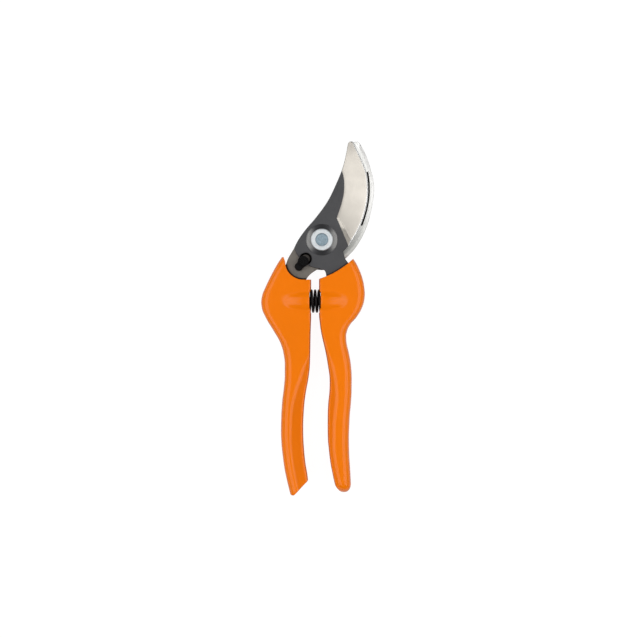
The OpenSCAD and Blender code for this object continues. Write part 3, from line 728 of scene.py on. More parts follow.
# ---------- Sizes and colours ----------
def swatch(label, text, hex_colour):
    """Property for a colour."""
    return bpy.props.FloatVectorProperty(name=label, description=text, subtype="COLOR",
                                         default=linear(hex_colour), min=0, max=1)


def number(label, text, given, **more):
    """Property for a plain number."""
    return bpy.props.FloatProperty(name=label, description=text, default=given, **more)


def millimetres(label, text, size):
    """Property for a length, given in millimetres."""
    return number(label, text, size * MM, unit="LENGTH", precision=5)


def whole(label, text, given, least):
    """Property for a whole number."""
    return bpy.props.IntProperty(name=label, description=text, default=given, min=least)


class PRUNER_PG_colours(bpy.types.PropertyGroup):
    grip: swatch("Grip", "Colour of the moulded handles", "#F47A02")
    coat: swatch("Coat", "Colour of the coated blade", "#424244")
    bevel: swatch("Bevel", "Tint of the ground cutting bevel", "#B4AFA7")
    hook: swatch("Hook", "Tint of the counter blade", "#EEEEEB")
    plate: swatch("Plating", "Tint of the zinc plated bolt, nut and washer", "#D3D7D9")
    spring: swatch("Spring", "Colour of the spring wire", "#1C1B1B")
    catch: swatch("Catch", "Colour of the catch buttons", "#060606")


class PRUNER_PG_blades(bpy.types.PropertyGroup):
    edge_break: millimetres("Broken edges", "Width of the broken edges of both blades", 0.22)
    edge_left: millimetres("Edge left", "Thickness that the main grind leaves at the edge", 0.6)
    honed_width: millimetres("Honed width", "Width of the second bevel along the cutting edge",
                             0.7)
    honed_left: millimetres("Honed edge", "Thickness left at the honed edge", 0.24)
    bed_radius: millimetres("Bed radius", "Radius of the turned bed under the bolt's head", 8.7)
    bed_depth: millimetres("Bed depth", "Depth of the turned bed under the bolt's head", 0.35)
    groove_width: millimetres("Sap groove", "Width of the sap groove in the counter blade", 0.55)
    groove_depth: millimetres("Sap groove depth", "Depth of the sap groove", 0.7)
    chamfer_width: millimetres("Hook chamfer", "Width of the chamfer on the hook's outer edge",
                               1.6)
    chamfer_depth: millimetres("Hook chamfer depth", "Depth of that chamfer", 0.7)


class PRUNER_PG_grips(bpy.types.PropertyGroup):
    edge_round: millimetres("Mouth rounding", "Rounding of the edges of the mouths", 0.45)
    rim_width: millimetres("Rim", "Width of the rounding along each handle's outer edge", 4)
    inner_round: millimetres("Inner rounding", "Rounding of each handle's inner edge", 0.4)
    inner_lean: millimetres("Inner lean", "How far each inner face leans back from its middle",
                            0.45)
    crease_round: millimetres("Crease rounding", "Half width of the round along each crease", 1.3)
    facet_slope: number("Facet slope", "Steepest rise of the facet inside each crease", 0.75)
    swelling: millimetres("Swelling", "Height of the barrel over each spring pocket", 1.7)
    end_slope: number("End slope", "Slope of the left handle's cut end", math.radians(42.5),
                      subtype="ANGLE")
    tip_round: millimetres("Tip rounding", "Rounding of the left handle's tip", 2.2)
    rows: whole("Rows", "Rows of faces along each handle", 190, 60)


class PRUNER_PG_spring(bpy.types.PropertyGroup):
    wire: millimetres("Wire", "Diameter of the spring wire", 1.3)
    swell: millimetres("Barrel", "How much the open coils stand out over the closed ones", 0.25)
    turns: whole("Turns", "Number of turns of the spring", 14, 6)
    closed: number("Closed turns", "Turns that lie closed at each end", 1.25)


class PRUNER_PG_catch(bpy.types.PropertyGroup):
    ribs: whole("Grooves", "Grooves across the thumb knob", 5, 2)
    groove: millimetres("Groove width", "Width of one groove across the knob", 0.55)
    depth: millimetres("Groove depth", "Depth of one groove across the knob", 0.6)


class PRUNER_PG_stage(bpy.types.PropertyGroup):
    centre: bpy.props.FloatVectorProperty(
        name="Camera centre", description="Point of the object's plane under the camera",
        size=2, default=(-1.6 * MM, -44.5 * MM), unit="LENGTH", precision=5)
    height: number("Camera height", "Height of the camera above the blades", 0.9983,
                   unit="LENGTH")
    lens: number("Lens", "Focal length in millimetres", 100)
    side: number("Side lights", "Radiance of the soft lights at both sides", 2.18)
    sky: number("Walls", "Brightness of the room's walls", 0.2)
    zenith: number("Ceiling", "Brightness of the room overhead", 0.05)


GROUPS = {"pruner_colours": PRUNER_PG_colours, "pruner_blades": PRUNER_PG_blades,
          "pruner_grips": PRUNER_PG_grips, "pruner_spring": PRUNER_PG_spring,
          "pruner_catch": PRUNER_PG_catch, "pruner_stage": PRUNER_PG_stage}


# ---------- Stage ----------
FLOOR_HALF = 3.0  # this section's sizes are metres
FLOOR_Z = -0.02 * MM
LAMP_TARGET = Vector((0, -0.045, 0))
LAMP_SIZE = (1.8, 1.34)
LAMP_AWAY = 0.84  # beside the target
LAMP_ABOVE = 1.245
SENSOR_WIDTH = 36  # millimetres
CLIP = (0.05, 20)


class PRUNER_OT_stage(bpy.types.Operator):
    """Builds the floor, the soft lights and the camera"""
    bl_idname = "pruner.stage"
    bl_label = "Stage"

    def execute(self, context):
        sizes = context.scene.pruner_stage
        scene = context.scene
        scene.view_settings.view_transform = "Standard"
        mesh = bpy.data.meshes.new("floor")
        corners = ((-1, -1), (1, -1), (1, 1), (-1, 1))
        mesh.from_pydata([(FLOOR_HALF * x, FLOOR_HALF * y, FLOOR_Z) for x, y in corners],
                         [], [(0, 1, 2, 3)])
        floor = bpy.data.objects.new("floor", mesh)
        scene.collection.objects.link(floor)
        made, tree, coords = new_material("pale_matt_paper")
        fibre = mixed(tree, noise(tree, coords, per_mm(3)), (0.09,) * 3, (0.11,) * 3)
        close_tree(tree, {"Base Color": fibre, "Roughness": 0.9,
                          "Emission Color": (1, 1, 1, 1), "Emission Strength": 0.94})
        mesh.materials.append(made)

        world = bpy.data.worlds.new("studio")
        world.use_nodes = True
        tree = world.node_tree
        tree.nodes.clear()
        way = node(tree, "ShaderNodeTexCoord").outputs["Generated"]
        height = node(tree, "ShaderNodeSeparateXYZ", {0: way}).outputs["Z"]
        glow = ranged(tree, height, 0.95, 0.2, sizes.zenith, sizes.sky, "SMOOTHSTEP")
        room = first(tree, "ShaderNodeBackground", {"Strength": glow})
        node(tree, "ShaderNodeOutputWorld", {"Surface": room})
        scene.world = world
        for name, side in (("light_left", -1), ("light_right", 1)):
            lamp = bpy.data.lights.new(name, "AREA")
            lamp.shape = "RECTANGLE"
            lamp.size, lamp.size_y = LAMP_SIZE
            lamp.energy = sizes.side * math.pi * LAMP_SIZE[0] * LAMP_SIZE[1]
            light = bpy.data.objects.new(name, lamp)
            light.location = Vector((side * LAMP_AWAY, 0, LAMP_ABOVE)) + LAMP_TARGET
            aim = LAMP_TARGET - light.location
            light.rotation_euler = aim.to_track_quat("-Z", "Y").to_euler()
            scene.collection.objects.link(light)

        lens = bpy.data.cameras.new("camera")
        lens.lens = sizes.lens
        lens.sensor_width = SENSOR_WIDTH
        lens.clip_start, lens.clip_end = CLIP
        camera = bpy.data.objects.new("camera", lens)
        camera.location = (sizes.centre[0], sizes.centre[1], FACE_Z * MM + sizes.height)
        scene.collection.objects.link(camera)
        scene.camera = camera
        return {"FINISHED"}


# ---------- Blades ----------
BEVEL_ROWS = 60  # rows of loose points along the bevel
BEVEL_SHARES = (0.1, 0.22, 0.36, 0.5, 0.64, 0.78, 0.9)  # shares of its width they lie at
HONED_SIDE = (14.9, -3)  # the plate's rim is honed right of and above this
TIP_Y = 41  # above this the rim is ground
HOOK_BASE_X = 8  # left of this the counter blade is as rolled


def between(x, y, line_from, line_to, full):
    """Depth that grows evenly from 0 on one line to full on the other."""
    a, b = distance((x, y), line_from), distance((x, y), line_to)
    return full * a / (a + b)


def blade_outline(spine, edge):
    """The cutting blade's outline: tang, rest behind the spring, boss with notch, spine, edge."""
    notch = catch_at(NOTCH_S)
    turn = math.degrees(CATCH_A)
    swing = math.degrees(math.acos(
        (NOTCH_S ** 2 + BOSS_R ** 2 - NOTCH_R ** 2) / (2 * NOTCH_S * BOSS_R)))
    opened = math.degrees(math.acos(
        (NOTCH_S ** 2 + NOTCH_R ** 2 - BOSS_R ** 2) / (2 * NOTCH_S * NOTCH_R)))
    rest = RIGHT_FACE + PAST_POCKET
    return (
        [(15, -3.4), (11.9, -6.7), (13.2, -10.8), (15.4, -13.8)]
        + smooth(BLADE_TANG_OUT, 4) + smooth(BLADE_TANG_IN, 4)
        + [(13.6, POCKET_LOW - 2), (rest, POCKET_LOW), (rest, POCKET_TOP + 0.6),
           (6, POCKET_TOP + 2.2), (2.6, -22.5)]
        + smooth([(2.6, -20.6), (1.7, -17.4), (-1, -BOSS_R)], 5)
        + arc(BOSS_R, 262, turn + swing, 12)
        + arc(NOTCH_R, turn + 180 - opened, turn + 180 + opened, 40, notch)
        + arc(BOSS_R, turn - swing, 197, 12) + spine[::-1] + BLADE_TIP + edge)


def bevel_points(grind, edge):
    """Loose points across the bevel, which keep its triangles short."""
    out = []
    for k in range(1, BEVEL_ROWS):
        a = grind[k * (len(grind) - 1) // BEVEL_ROWS]
        b = edge[k * (len(edge) - 1) // BEVEL_ROWS]
        out += [(a[0] + (b[0] - a[0]) * v, a[1] + (b[1] - a[1]) * v) for v in BEVEL_SHARES]
    return out


class PRUNER_OT_cutting_blade(bpy.types.Operator):
    """Builds the coated cutting blade with its ground bevel, honed edge, turned bed and notch"""
    bl_idname = "pruner.cutting_blade"
    bl_label = "Cutting blade"

    def execute(self, context):
        sizes = context.scene.pruner_blades
        low, high = BLADE_LOW.z, BLADE_HIGH.z
        left, honed = sizes.edge_left / MM, sizes.honed_width / MM
        honed_left = sizes.honed_left / MM
        edge, spine = smooth(EDGE, 10), smooth(SPINE, 8)
        # Both lines run on past the tip, so that depths there are still measured between them.
        ahead = (-1.4, 3.4)
        edge_line = [(edge[0][0] + ahead[0], edge[0][1] + ahead[1])] + edge
        grind_line = [(GRIND[0][0] + ahead[0], GRIND[0][1] + ahead[1])] + smooth(GRIND, 8)
        heel, foot = straight(*HEEL), straight(*HEEL_FOOT)
        past_heel = (heel[-1][0] + 3, heel[-1][1] - 3)
        outside = [(x + 6, y) for x, y in edge]
        ground = grind_line + [heel[-1], past_heel] + outside[::-1] + [(10, 70), (-5, 70)]
        facet = [heel[0], heel[-1], past_heel, (19.6, -2.4), foot[-1], foot[0]]

        def main_depth(x, y):
            return between(x, y, grind_line, edge_line, high - low - left)

        def top_at(x, y):
            if not within((x, y), [ground]) or distance((x, y), heel) < 0.01:
                return high
            if within((x, y), [facet]):
                near = min(foot, key=lambda p: (p[0] - x) ** 2 + (p[1] - y) ** 2)
                return high - between(x, y, heel, foot, main_depth(*near))
            z = high - main_depth(x, y)
            off = distance((x, y), edge_line)
            if off < honed:
                z = min(z, low + honed_left + (left + 0.1 - honed_left) * off / honed)
            return z

        coat, bevel, bare, bed, rough = range(5)

        def slot_at(x, y):
            if not within((x, y), [ground]):
                return coat
            if distance((x, y), edge_line) < honed:
                return bare
            return rough if within((x, y), [facet]) else bevel

        honed_line = beside(edge, honed)
        inner = [p for p in bevel_points(grind_line[1:], edge)
                 if not within(p, [facet]) and distance(p, foot) > 0.5]
        radius, depth = sizes.bed_radius / MM, sizes.bed_depth / MM
        blade = slab(
            "cutting_blade_plate", blade_outline(spine, edge), low, high,
            [coated_steel(), bevel_steel(), honed_steel(), turned_steel(), facet_steel()],
            break_width=sizes.edge_break / MM, top_at=top_at, slot_at=slot_at,
            wall_slot_at=lambda x, y: (bare if x > HONED_SIDE[0] and y > HONED_SIDE[1]
                                       else bevel if y > TIP_Y else coat),
            sinks=[(round_loop(radius, 96), depth)], sink_slot=bed,
            creases=[grind_line, heel[1:], foot[1:], honed_line], inner=inner)
        hole = revolved("bore", [(0, high + 1), (BORE_R, high + 1), (BORE_R, low - 1),
                                 (0, low - 1)], [blade.data.materials[coat]], steps=64)
        combined(blade, hole, "DIFFERENCE")
        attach(blade, "blade_side")
        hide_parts("cutting_blade")
        return {"FINISHED"}


class PRUNER_OT_counter_blade(bpy.types.Operator):
    """Builds the hooked counter blade with its sap groove, outer chamfer and catch slot"""
    bl_idname = "pruner.counter_blade"
    bl_label = "Counter blade"

    def execute(self, context):
        sizes = context.scene.pruner_blades
        low, high = HOOK_LOW.z, HOOK_HIGH.z
        outer, edge = smooth(HOOK_OUTER, 8), smooth(EDGE, 8)
        wide, deep = sizes.chamfer_width / MM, sizes.chamfer_depth / MM
        rest = LEFT_FACE - PAST_POCKET
        outline = (
            smooth(HOOK_TANG_OUT, 5) + smooth(HOOK_TANG_IN, 4)
            + [(-16, POCKET_LOW - 2), (rest, POCKET_LOW), (rest, POCKET_TOP + 0.6),
               (-14, POCKET_TOP + 2.2)]
            + smooth([(-10.4, -24.6), (-7.6, -20.4), (-5.4, -18.4), (-2.8, -HOOK_BOSS_R + 0.2)], 5)
            + arc(HOOK_BOSS_R, 272, 322, 24) + outer[::-1] + HOOK_TIP[::-1]
            + smooth(HOOK_INNER, 6) + arc(10.8, 95, 165, 20))
        inner_line = beside(outer, wide)

        def top_at(x, y):
            off = distance((x, y), outer)
            return high - deep * (1 - off / wide) if off < wide else high

        # The sap groove follows the cutting edge, a little outside it.
        run = [p for p in edge if 8 < p[1] < 38.5]
        middle = beside(run, -0.6)
        half = sizes.groove_width / MM / 2

        def round_end(end, before):
            heading = math.degrees(math.atan2(end[1] - before[1], end[0] - before[0]))
            return arc(half, heading - 90, heading + 90, 8, end)[1:-1]

        groove = (beside(middle, half) + round_end(middle[-1], middle[-2])
                  + beside(middle, -half)[::-1] + round_end(middle[0], middle[1]))
        hook, base, black, chamfer = range(4)
        blade = slab(
            "counter_blade_plate", outline, low, high,
            [hook_steel(), base_steel(), groove_black(), chamfer_steel()],
            break_width=sizes.edge_break / MM, top_at=top_at,
            slot_at=lambda x, y: (base if x < HOOK_BASE_X
                                  else chamfer if distance((x, y), outer) < wide else hook),
            wall_slot_at=lambda x, y: base if x < HOOK_BASE_X else chamfer,
            holes=[bar(LOBE_S - 3.5, LOBE_S + 0.1, SLOT_W / 2), round_loop(BORE_R, 64)],
            sinks=[(groove, sizes.groove_depth / MM)], sink_slot=black, creases=[inner_line])
        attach(blade, "hook_side")
        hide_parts("counter_blade")
        return {"FINISHED"}


# ---------- Handles ----------
LEFT_DRAWN, RIGHT_DRAWN = 143.5, 142  # lengths that the stations are drawn for
DRAFT = math.radians(2)
GRIP_SHARP = 35  # degrees between faces from which a handle's edges look sharp
STAND_BACK, BACK_HALF, BACK_RAMP = 0.5, 5.4, 1.2  # depth, half length and ramp of the recess
MOUTH_STEPS = (0, 0.03, 0.08, 0.16, 0.26, 0.38, 0.52)  # rows of points down from a mouth
END_STEPS = (1.1, 0.8, 0.55, 0.36, 0.22, 0.12, 0.05, 0)  # rows up from a flat end
END_CLEAR = 1.3  # even rows stop this far from a flat end
LAST_ROWS = 16  # rows at the end that get no more rows between them
SCUFFED_LINES = 4  # lines of points beside each edge of a handle that are its walls
CROSSING_STEPS = 26


def swelling(s, depth, flat, height):
    """How far the barrel round the spring pocket stands out of the handle's flat: it falls
    away from the gap, faster and faster, down to nothing past the pocket's floor."""
    barrel = flat + height * value(BARREL, depth)
    rise = math.sqrt(max(0, barrel ** 2 - (s - SPRING_S) ** 2)) - flat
    soft = 0.3  # rounds the line where the barrel leaves the flat
    return 0.5 * (rise + math.sqrt(rise * rise + soft * soft))


def section(s, face, outer, inner, crease, scale, sizes):
    """Front half of a handle's section: (x, z) from the middle of the inner face to the rim.
    Inside, widths count from the inner face and heights from the parting plane."""
    p = s if s < NECK_S else NECK_S + (s - NECK_S) / scale
    inner_x, crease_x, outer_x = face + value(inner, p), face + value(crease, p), value(outer, p)
    high, inner_high = HALF_THK * value(CREST, p), HALF_THK * value(INNER_HEIGHT, p)
    side = 1 if outer_x > inner_x else -1
    # The inner face stands back a little round the spring.
    near_spring = (BACK_HALF - abs(s - SPRING_S + 0.5)) / BACK_RAMP
    inner_x += side * STAND_BACK * min(1, max(0, near_spring))
    wide = abs(outer_x - inner_x)
    rim = min(sizes.rim_width / MM, wide * 0.42, high * 0.8)
    r, lean = sizes.inner_round / MM, sizes.inner_lean / MM
    rise_at = r + lean
    bend = min(max(abs(crease_x - inner_x), rise_at + 0.5), wide - rim - 1.2)
    inner_high = max(inner_high, high - sizes.facet_slope
                     * max(0, abs(crease_x - inner_x) - rise_at))
    raw = straight((0, 0), (lean, inner_high - r), 4)[:-1]
    raw += [(rise_at - r * math.cos(a), inner_high - r + r * math.sin(a))
            for a in (math.radians(18 * k) for k in range(6))]
    # The facet rises straight from the inner edge and turns over the crease in a round.
    turn = min(sizes.crease_round / MM, (bend - rise_at) * 0.7)
    lift = (high - inner_high) / (bend - rise_at)
    start = (bend - turn, high - turn * lift)
    end = (bend + min(turn, wide - rim - bend - 0.6), high)
    raw += straight((rise_at, inner_high), start, 6)[1:-1]
    for k in range(7):
        t = k / 6
        raw.append(tuple((1 - t) ** 2 * a + 2 * t * (1 - t) * b + t * t * c
                         for a, b, c in zip(start, (bend, high), end)))
    # A quarter round, then a side wall with a little draft down to the parting plane.
    draft = (high - rim) * math.tan(DRAFT)
    raw += straight(end, (wide - rim - draft, high), 16)[1:-1]
    raw += [(wide - draft - rim + rim * math.sin(a), high - rim + rim * math.cos(a))
            for a in (math.pi / 2 * (k / 11) for k in range(12))]
    raw += [(wide - draft * (1 - k / 3), (high - rim) * (1 - k / 3)) for k in range(1, 4)]
    out = []
    for x, z in raw:
        if z > inner_high - r:
            fade = min(1, 2 * (wide - x) / wide)
            z += swelling(s, x, high, sizes.swelling / MM) * fade
        out.append((inner_x + side * x, z))
    return out


def crossing(test, low, high):
    """Where a yes-or-no test turns from yes at low to no at high."""
    for _ in range(CROSSING_STEPS):
        middle = (low + high) / 2
        if test(middle):
            low = middle
        else:
            high = middle
    return high


def mouth_starts(at, removed, top, low):
    """Where each of a handle's lines leaves its mouth, looked for from the top down."""
    return [crossing(lambda s: removed(at(s)[j][0], -s), top, low)
            if removed(at(top)[j][0], -top) else top for j in range(len(at(top)))]


def stations(start, last, rows, pole, end_round):
    """Distances down one of a handle's lines, closer together where its ends are rounded."""
    body = last - start - MOUTH_STEPS[-1]
    steps = [start + f for f in MOUTH_STEPS]
    steps += [start + MOUTH_STEPS[-1] + body * (k / rows) for k in range(1, rows + 1)]
    if pole:
        clear = last - end_round
        tail = [clear + end_round * math.sin(math.radians(a)) for a in range(6, 90, 6)] + [last]
    else:
        clear, tail = last - END_CLEAR, [last - f for f in END_STEPS]
    return [s for s in steps if s < clear] + tail


def evened(lines):
    """The lines' distances, with the widest gaps halved until all have as many points."""
    most = max(len(steps) for steps in lines)
    for steps in lines:
        while len(steps) < most:
            gaps = [(steps[k + 1] - steps[k], k)
                    for k in range(len(MOUTH_STEPS) + 1, len(steps) - LAST_ROWS)]
            k = max(gaps)[1]
            steps.insert(k + 1, (steps[k] + steps[k + 1]) / 2)
    return lines


def sunk(radius, off):
    """How far a round lies under its flat, this far off the edge."""
    return radius - math.sqrt(max(0, radius ** 2 - (radius - off) ** 2))


def handle_point(line, j, s, end, mouth, pole, round_off, end_round):
    """Place of a section's point, drawn in where the handle's end and its mouth are rounded."""
    x, z = line[j]
    wide = tall = 1.0
    if pole:
        u = max(0.0, (s - (end - end_round)) / end_round)
        wide = max(0.0, 1 - u ** 2.05) ** (1 / 2.05)
        tall = math.sqrt(max(0.0, 1 - u * u))
    elif end - s < end_round:
        cut = sunk(end_round, end - s)
        wide -= cut / (abs(line[0][0] - line[-1][0]) / 2)
        tall -= cut / max(p[1] for p in line)
    middle = (line[0][0] + line[-1][0]) / 2
    x = middle + (x - middle) * wide
    z *= tall
    off = distance((x, -s), mouth)
    if off < round_off:
        z -= sunk(round_off, off) * min(1, z / (2 * round_off))
    return x, -s, z


def grip(name, at, starts, ends, mouth, pole, sizes, nylons, end_round):
    """A handle lofted along lines from its mouth to its end. The end closes in a flat with a
    rounded edge, or as a pole: a full round."""
    shape = Shape()
    lines = evened([stations(*run, sizes.rows, pole, end_round) for run in zip(starts, ends)])
    grid = [[handle_point(at(s), j, s, ends[j], mouth, pole, sizes.edge_round / MM, end_round)
             for s in steps] for j, steps in enumerate(lines)]
    count, longest = len(grid), len(grid[0])
    front = [[shape.point(x, y, FACE_Z + z) for x, y, z in row] for row in grid]
    back = [front[0]] + [[shape.point(x, y, FACE_Z - z) for x, y, z in row]
                         for row in grid[1:-1]] + [front[-1]]
    right = grid[-1][0][0] > grid[0][0][0]

    def put(a, b, c, d, slot=0):
        corners = list(dict.fromkeys([a, b, c, d] if right else [d, c, b, a]))
        if len(corners) > 2:
            shape.face(corners, slot)

    for j in range(count - 1):
        slot = 0 if SCUFFED_LINES <= j < count - SCUFFED_LINES else 1
        for i in range(longest - 1):
            put(front[j][i], front[j][i + 1], front[j + 1][i + 1], front[j + 1][i], slot)
            put(back[j + 1][i], back[j + 1][i + 1], back[j][i + 1], back[j][i], slot)
    # The mouth's wall runs straight from front to back; the flat inner face closes in one facet.
    flat = max(j for j in range(count) if abs(grid[j][0][0] - grid[0][0][0]) < 1e-6)
    loop = ([front[j][0] for j in range(flat + 1, -1, -1)]
            + [back[j][0] for j in range(1, flat + 2)])
    shape.face(loop[::-1] if right else loop)
    for j in range(flat + 1, count - 1):
        put(front[j][0], front[j + 1][0], back[j + 1][0], back[j][0])
    ring = [front[j][-1] for j in range(count)] + [back[j][-1] for j in range(count - 2, 0, -1)]
    if pole:
        x = sum(shape.points[k][0] for k in ring) / len(ring)
        y = sum(shape.points[k][1] for k in ring) / len(ring)
        tip = shape.point(x, y, FACE_Z)
        for a, b in zip(ring, ring[1:] + ring[:1]):
            shape.face((a, tip, b) if right else (b, tip, a))
    else:
        shape.face(ring[::-1] if right else ring)
    return shape.mesh(name, nylons, GRIP_SHARP)


def cut_pocket(handle, face, inward, nylons):
    """Cuts the round spring pocket, with a peg left standing on its floor."""
    peg_r, lip = 4.4, 3.0
    peg_top = -POCKET_FLOOR + 6.0
    profile = [(0, lip), (POCKET_R, lip), (POCKET_R, -POCKET_FLOOR), (peg_r, -POCKET_FLOOR),
               (peg_r - 0.1, peg_top - 0.6), (peg_r - 0.6, peg_top), (0, peg_top)]
    cutter = revolved("pocket", profile, nylons, steps=72)
    turn = Matrix.Rotation(math.pi / 2 if inward > 0 else -math.pi / 2, 4, "Y")
    cutter.data.transform(Matrix.Translation(Vector((face, -SPRING_S, FACE_Z)) * MM) @ turn)
    combined(handle, cutter, "DIFFERENCE", GRIP_SHARP)


class PRUNER_OT_handles(bpy.types.Operator):
    """Builds the two moulded handles with their mouths, creases, pockets and ends"""
    bl_idname = "pruner.handles"
    bl_label = "Handles"

    def execute(self, context):
        sizes = context.scene.pruner_grips
        nylons = grip_nylons()
        self.left(sizes, nylons)
        self.right(sizes, nylons)
        return {"FINISHED"}

    def left(self, sizes, nylons):
        catch = catch_at(KNOB_S)
        horn_x, mouth_y = catch[0] - MOUTH_R, catch[1] - MOUTH_R
        scale = (LEFT_LEN - NECK_S) / (LEFT_DRAWN - NECK_S)

        def at(s):
            return section(s, LEFT_FACE, LEFT_OUTER, LEFT_INNER, LEFT_CREASE, scale, sizes)

        def removed(x, y):
            if y > catch[1]:
                return x > horn_x - 2.2 * (y - catch[1]) / 6
            if x < catch[0]:
                return math.dist((x, y), catch) < MOUTH_R
            return y > mouth_y

        starts = mouth_starts(at, removed, 9.7, 40)
        tip_r, slope = sizes.tip_round / MM, sizes.end_slope
        # The end is cut on a slope that leaves a round at the outer corner.
        tip_x, tip_y = LEFT_FACE - 11.0, tip_r - LEFT_LEN
        slope_x = tip_x + tip_r * math.sin(slope)

        def kept(x, y):
            if x > slope_x:
                return y > tip_y - tip_r * math.cos(slope) + (x - slope_x) * math.tan(slope)
            return y > tip_y - math.sqrt(max(0, tip_r ** 2 - (x - tip_x) ** 2))

        ends = [crossing(lambda s: kept(at(s)[j][0], -s), 100, 160) for j in range(len(starts))]
        mouth = ([(horn_x - 2.2, catch[1] + 6), (horn_x, catch[1])]
                 + arc(MOUTH_R, 180, 270, 40, catch) + [(LEFT_FACE + 2, mouth_y)])
        made = grip("left_grip", at, starts, ends, mouth, False, sizes, nylons, 0.7)
        cut_pocket(made, LEFT_FACE, 1, nylons)
        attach(made, "hook_side")
        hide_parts("left_handle")

    def right(self, sizes, nylons):
        scale = (RIGHT_LEN - NECK_S) / (RIGHT_DRAWN - NECK_S)

        def at(s):
            return section(s, RIGHT_FACE, RIGHT_OUTER, RIGHT_INNER, RIGHT_CREASE, scale, sizes)

        def removed(x, y):
            return math.dist((x, y), RIGHT_MOUTH) < RIGHT_MOUTH_R

        starts = mouth_starts(at, removed, 9.8, 45)
        ends = [RIGHT_LEN] * len(starts)
        mouth = arc(RIGHT_MOUTH_R, -80, -20, 60, RIGHT_MOUTH)
        made = grip("right_grip", at, starts, ends, mouth, True, sizes, nylons, 5.0)
        cut_pocket(made, RIGHT_FACE, -1, nylons)
        # The counter blade's base turns in a rebate under the cutting blade.
        rebate_r, floor = 22.4, HOOK_LOW.z - 0.3
        rebate = revolved("rebate", [(0, BLADE_LOW.z), (rebate_r, BLADE_LOW.z),
                                     (rebate_r, floor), (0, floor)], nylons, steps=160)
        combined(made, rebate, "DIFFERENCE", GRIP_SHARP)
        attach(made, "blade_side")
        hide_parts("right_handle")


# ---------- Pivot ----------
class PRUNER_OT_pivot(bpy.types.Operator):
    """Builds the bolt, its nut and the conical washer"""
    bl_idname = "pruner.pivot"
    bl_label = "Pivot"

    def execute(self, context):
        # Tumbled before plating, so it is bright but not a mirror.
        zinc = plain_finish("bright_zinc_plate", context.scene.pruner_colours.plate, 1.0,
                            (0.55, 0.66), 1.2, 0.08)
        # The recess is dull as the punch left it, and painted darker and bluer than the head as
        # painted shade.
        shaded_recess_zinc = plain_finish("shaded_recess_zinc_plate", linear("#92A3AD"), 0.9, (0.55, 0.7), 0.9,
                               0.25, spread=0.75)
        head_r, top, dome = BOLT_HIGH.x, BOLT_HIGH.z, 0.7
        head_h, recess_h = 2.4, 0.8
        head_low, floor = top - head_h, top - recess_h
        recess_r, shank_r, thread_r = 3.55, 3.5, 3.0
        profile = [(0, floor + 0.15), (recess_r * 0.5, floor + 0.06), (recess_r - 0.45, floor),
                   (recess_r - 0.22, floor + 0.08), (recess_r - 0.1, floor + 0.25),
                   (recess_r, top - 0.15), (recess_r + 0.06, top - 0.05), (recess_r + 0.2, top)]
        recess_rows = 6
        profile += [(head_r - dome + dome * math.sin(math.radians(a)),
                     top - dome + dome * math.cos(math.radians(a))) for a in range(0, 91, 15)]
        profile += [(head_r, head_low + 0.2), (head_r - 0.2, head_low), (shank_r, head_low),
                    (shank_r, HOOK_LOW.z), (thread_r, HOOK_LOW.z), (thread_r, 0.5),
                    (thread_r - 0.5, 0), (0, 0)]
        bolt = revolved("pivot_bolt_body", profile, [zinc, shaded_recess_zinc],
                        [1] * recess_rows + [0] * (len(profile) - 1 - recess_rows))
        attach(bolt, "hook_side")
        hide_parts("pivot_bolt")
        self.nut(zinc)
        self.washer(zinc)
        return {"FINISHED"}

    def nut(self, zinc):
        half, corner, top = NUT_HIGH.y, NUT_HIGH.x, NUT_HIGH.z
        bore, collar, collar_r = 3.02, 1.1, half * 0.86
        shape = Shape()
        steps = 96
        columns = []
        for k in range(steps):
            a = math.tau * k / steps
            # A hexagon's reach at this heading, and the cone that breaks its lower corners.
            wrapped = (a + math.pi / 6) % (math.pi / 3) - math.pi / 6
            reach = half / math.cos(math.pi / 6 - abs(wrapped))
            cone = collar + 0.7 * (reach - half + 0.1) / (corner - half + 0.2)
            radii = [(bore, 0.35), (bore + 0.35, 0), (collar_r - 0.3, 0),
                     (collar_r - 0.09, 0.09), (collar_r, 0.3), (collar_r, collar),
                     (half - 0.1, collar), (reach, cone), (reach, top - 0.05),
                     (reach - 0.05, top), (bore, top)]
            columns.append([(r * math.cos(a), r * math.sin(a), z) for r, z in radii])
        rings = [[shape.point(*place) for place in level] for level in zip(*columns)]
        for low, high in zip(rings, rings[1:] + rings[:1]):
            shape.band(low, high)
        made = shape.mesh("pivot_nut_body", [zinc])
        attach(made, "hook_side")
        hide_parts("pivot_nut")

    def washer(self, zinc):
        low, high = WASHER_LOW.z, WASHER_HIGH.z
        outer, bore = WASHER_HIGH.x, 3.15
        thin = (high - low) * 0.45
        profile = [(bore, low + thin), (outer - 0.8, high), (outer - 0.08, high),
                   (outer, high - 0.08), (outer, high - thin + 0.06),
                   (outer - 0.06, high - thin), (NUT_HIGH.y * 0.84, low), (bore, low)]
        made = revolved("pivot_washer_ring", profile, [zinc], cap=False)
        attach(made, "hook_side")
        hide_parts("pivot_washer")


# ---------- Spring ----------
TURN_POINTS = 48
WIRE_SIDES = 14


def new_group(name, kinds):
    """An empty Geometry Nodes tree, its inputs, and the inputs' identifiers."""
    tree = bpy.data.node_groups.new(name, "GeometryNodeTree")
    ids = {}
    for key, kind in kinds.items():
        socket = tree.interface.new_socket(key, in_out="INPUT", socket_type="NodeSocket" + kind)
        ids[key] = socket.identifier
    tree.interface.new_socket("Geometry", in_out="OUTPUT", socket_type="NodeSocketGeometry")
    return tree, node(tree, "NodeGroupInput").outputs, ids


def close_group(tree, geometry, material):
    """Ends a Geometry Nodes tree in a geometry of one material."""
    done = first(tree, "GeometryNodeSetMaterial", {"Geometry": geometry, "Material": material})
    node(tree, "NodeGroupOutput", {"Geometry": done})


def applied(target, tree, ids, values):
    """The object's mesh, once a node tree has run on it with named values."""
    modifier = target.modifiers.new("nodes", "NODES")
    modifier.node_group = tree
    for key, given in values.items():
        modifier[ids[key]] = given
    return plain_mesh(target)


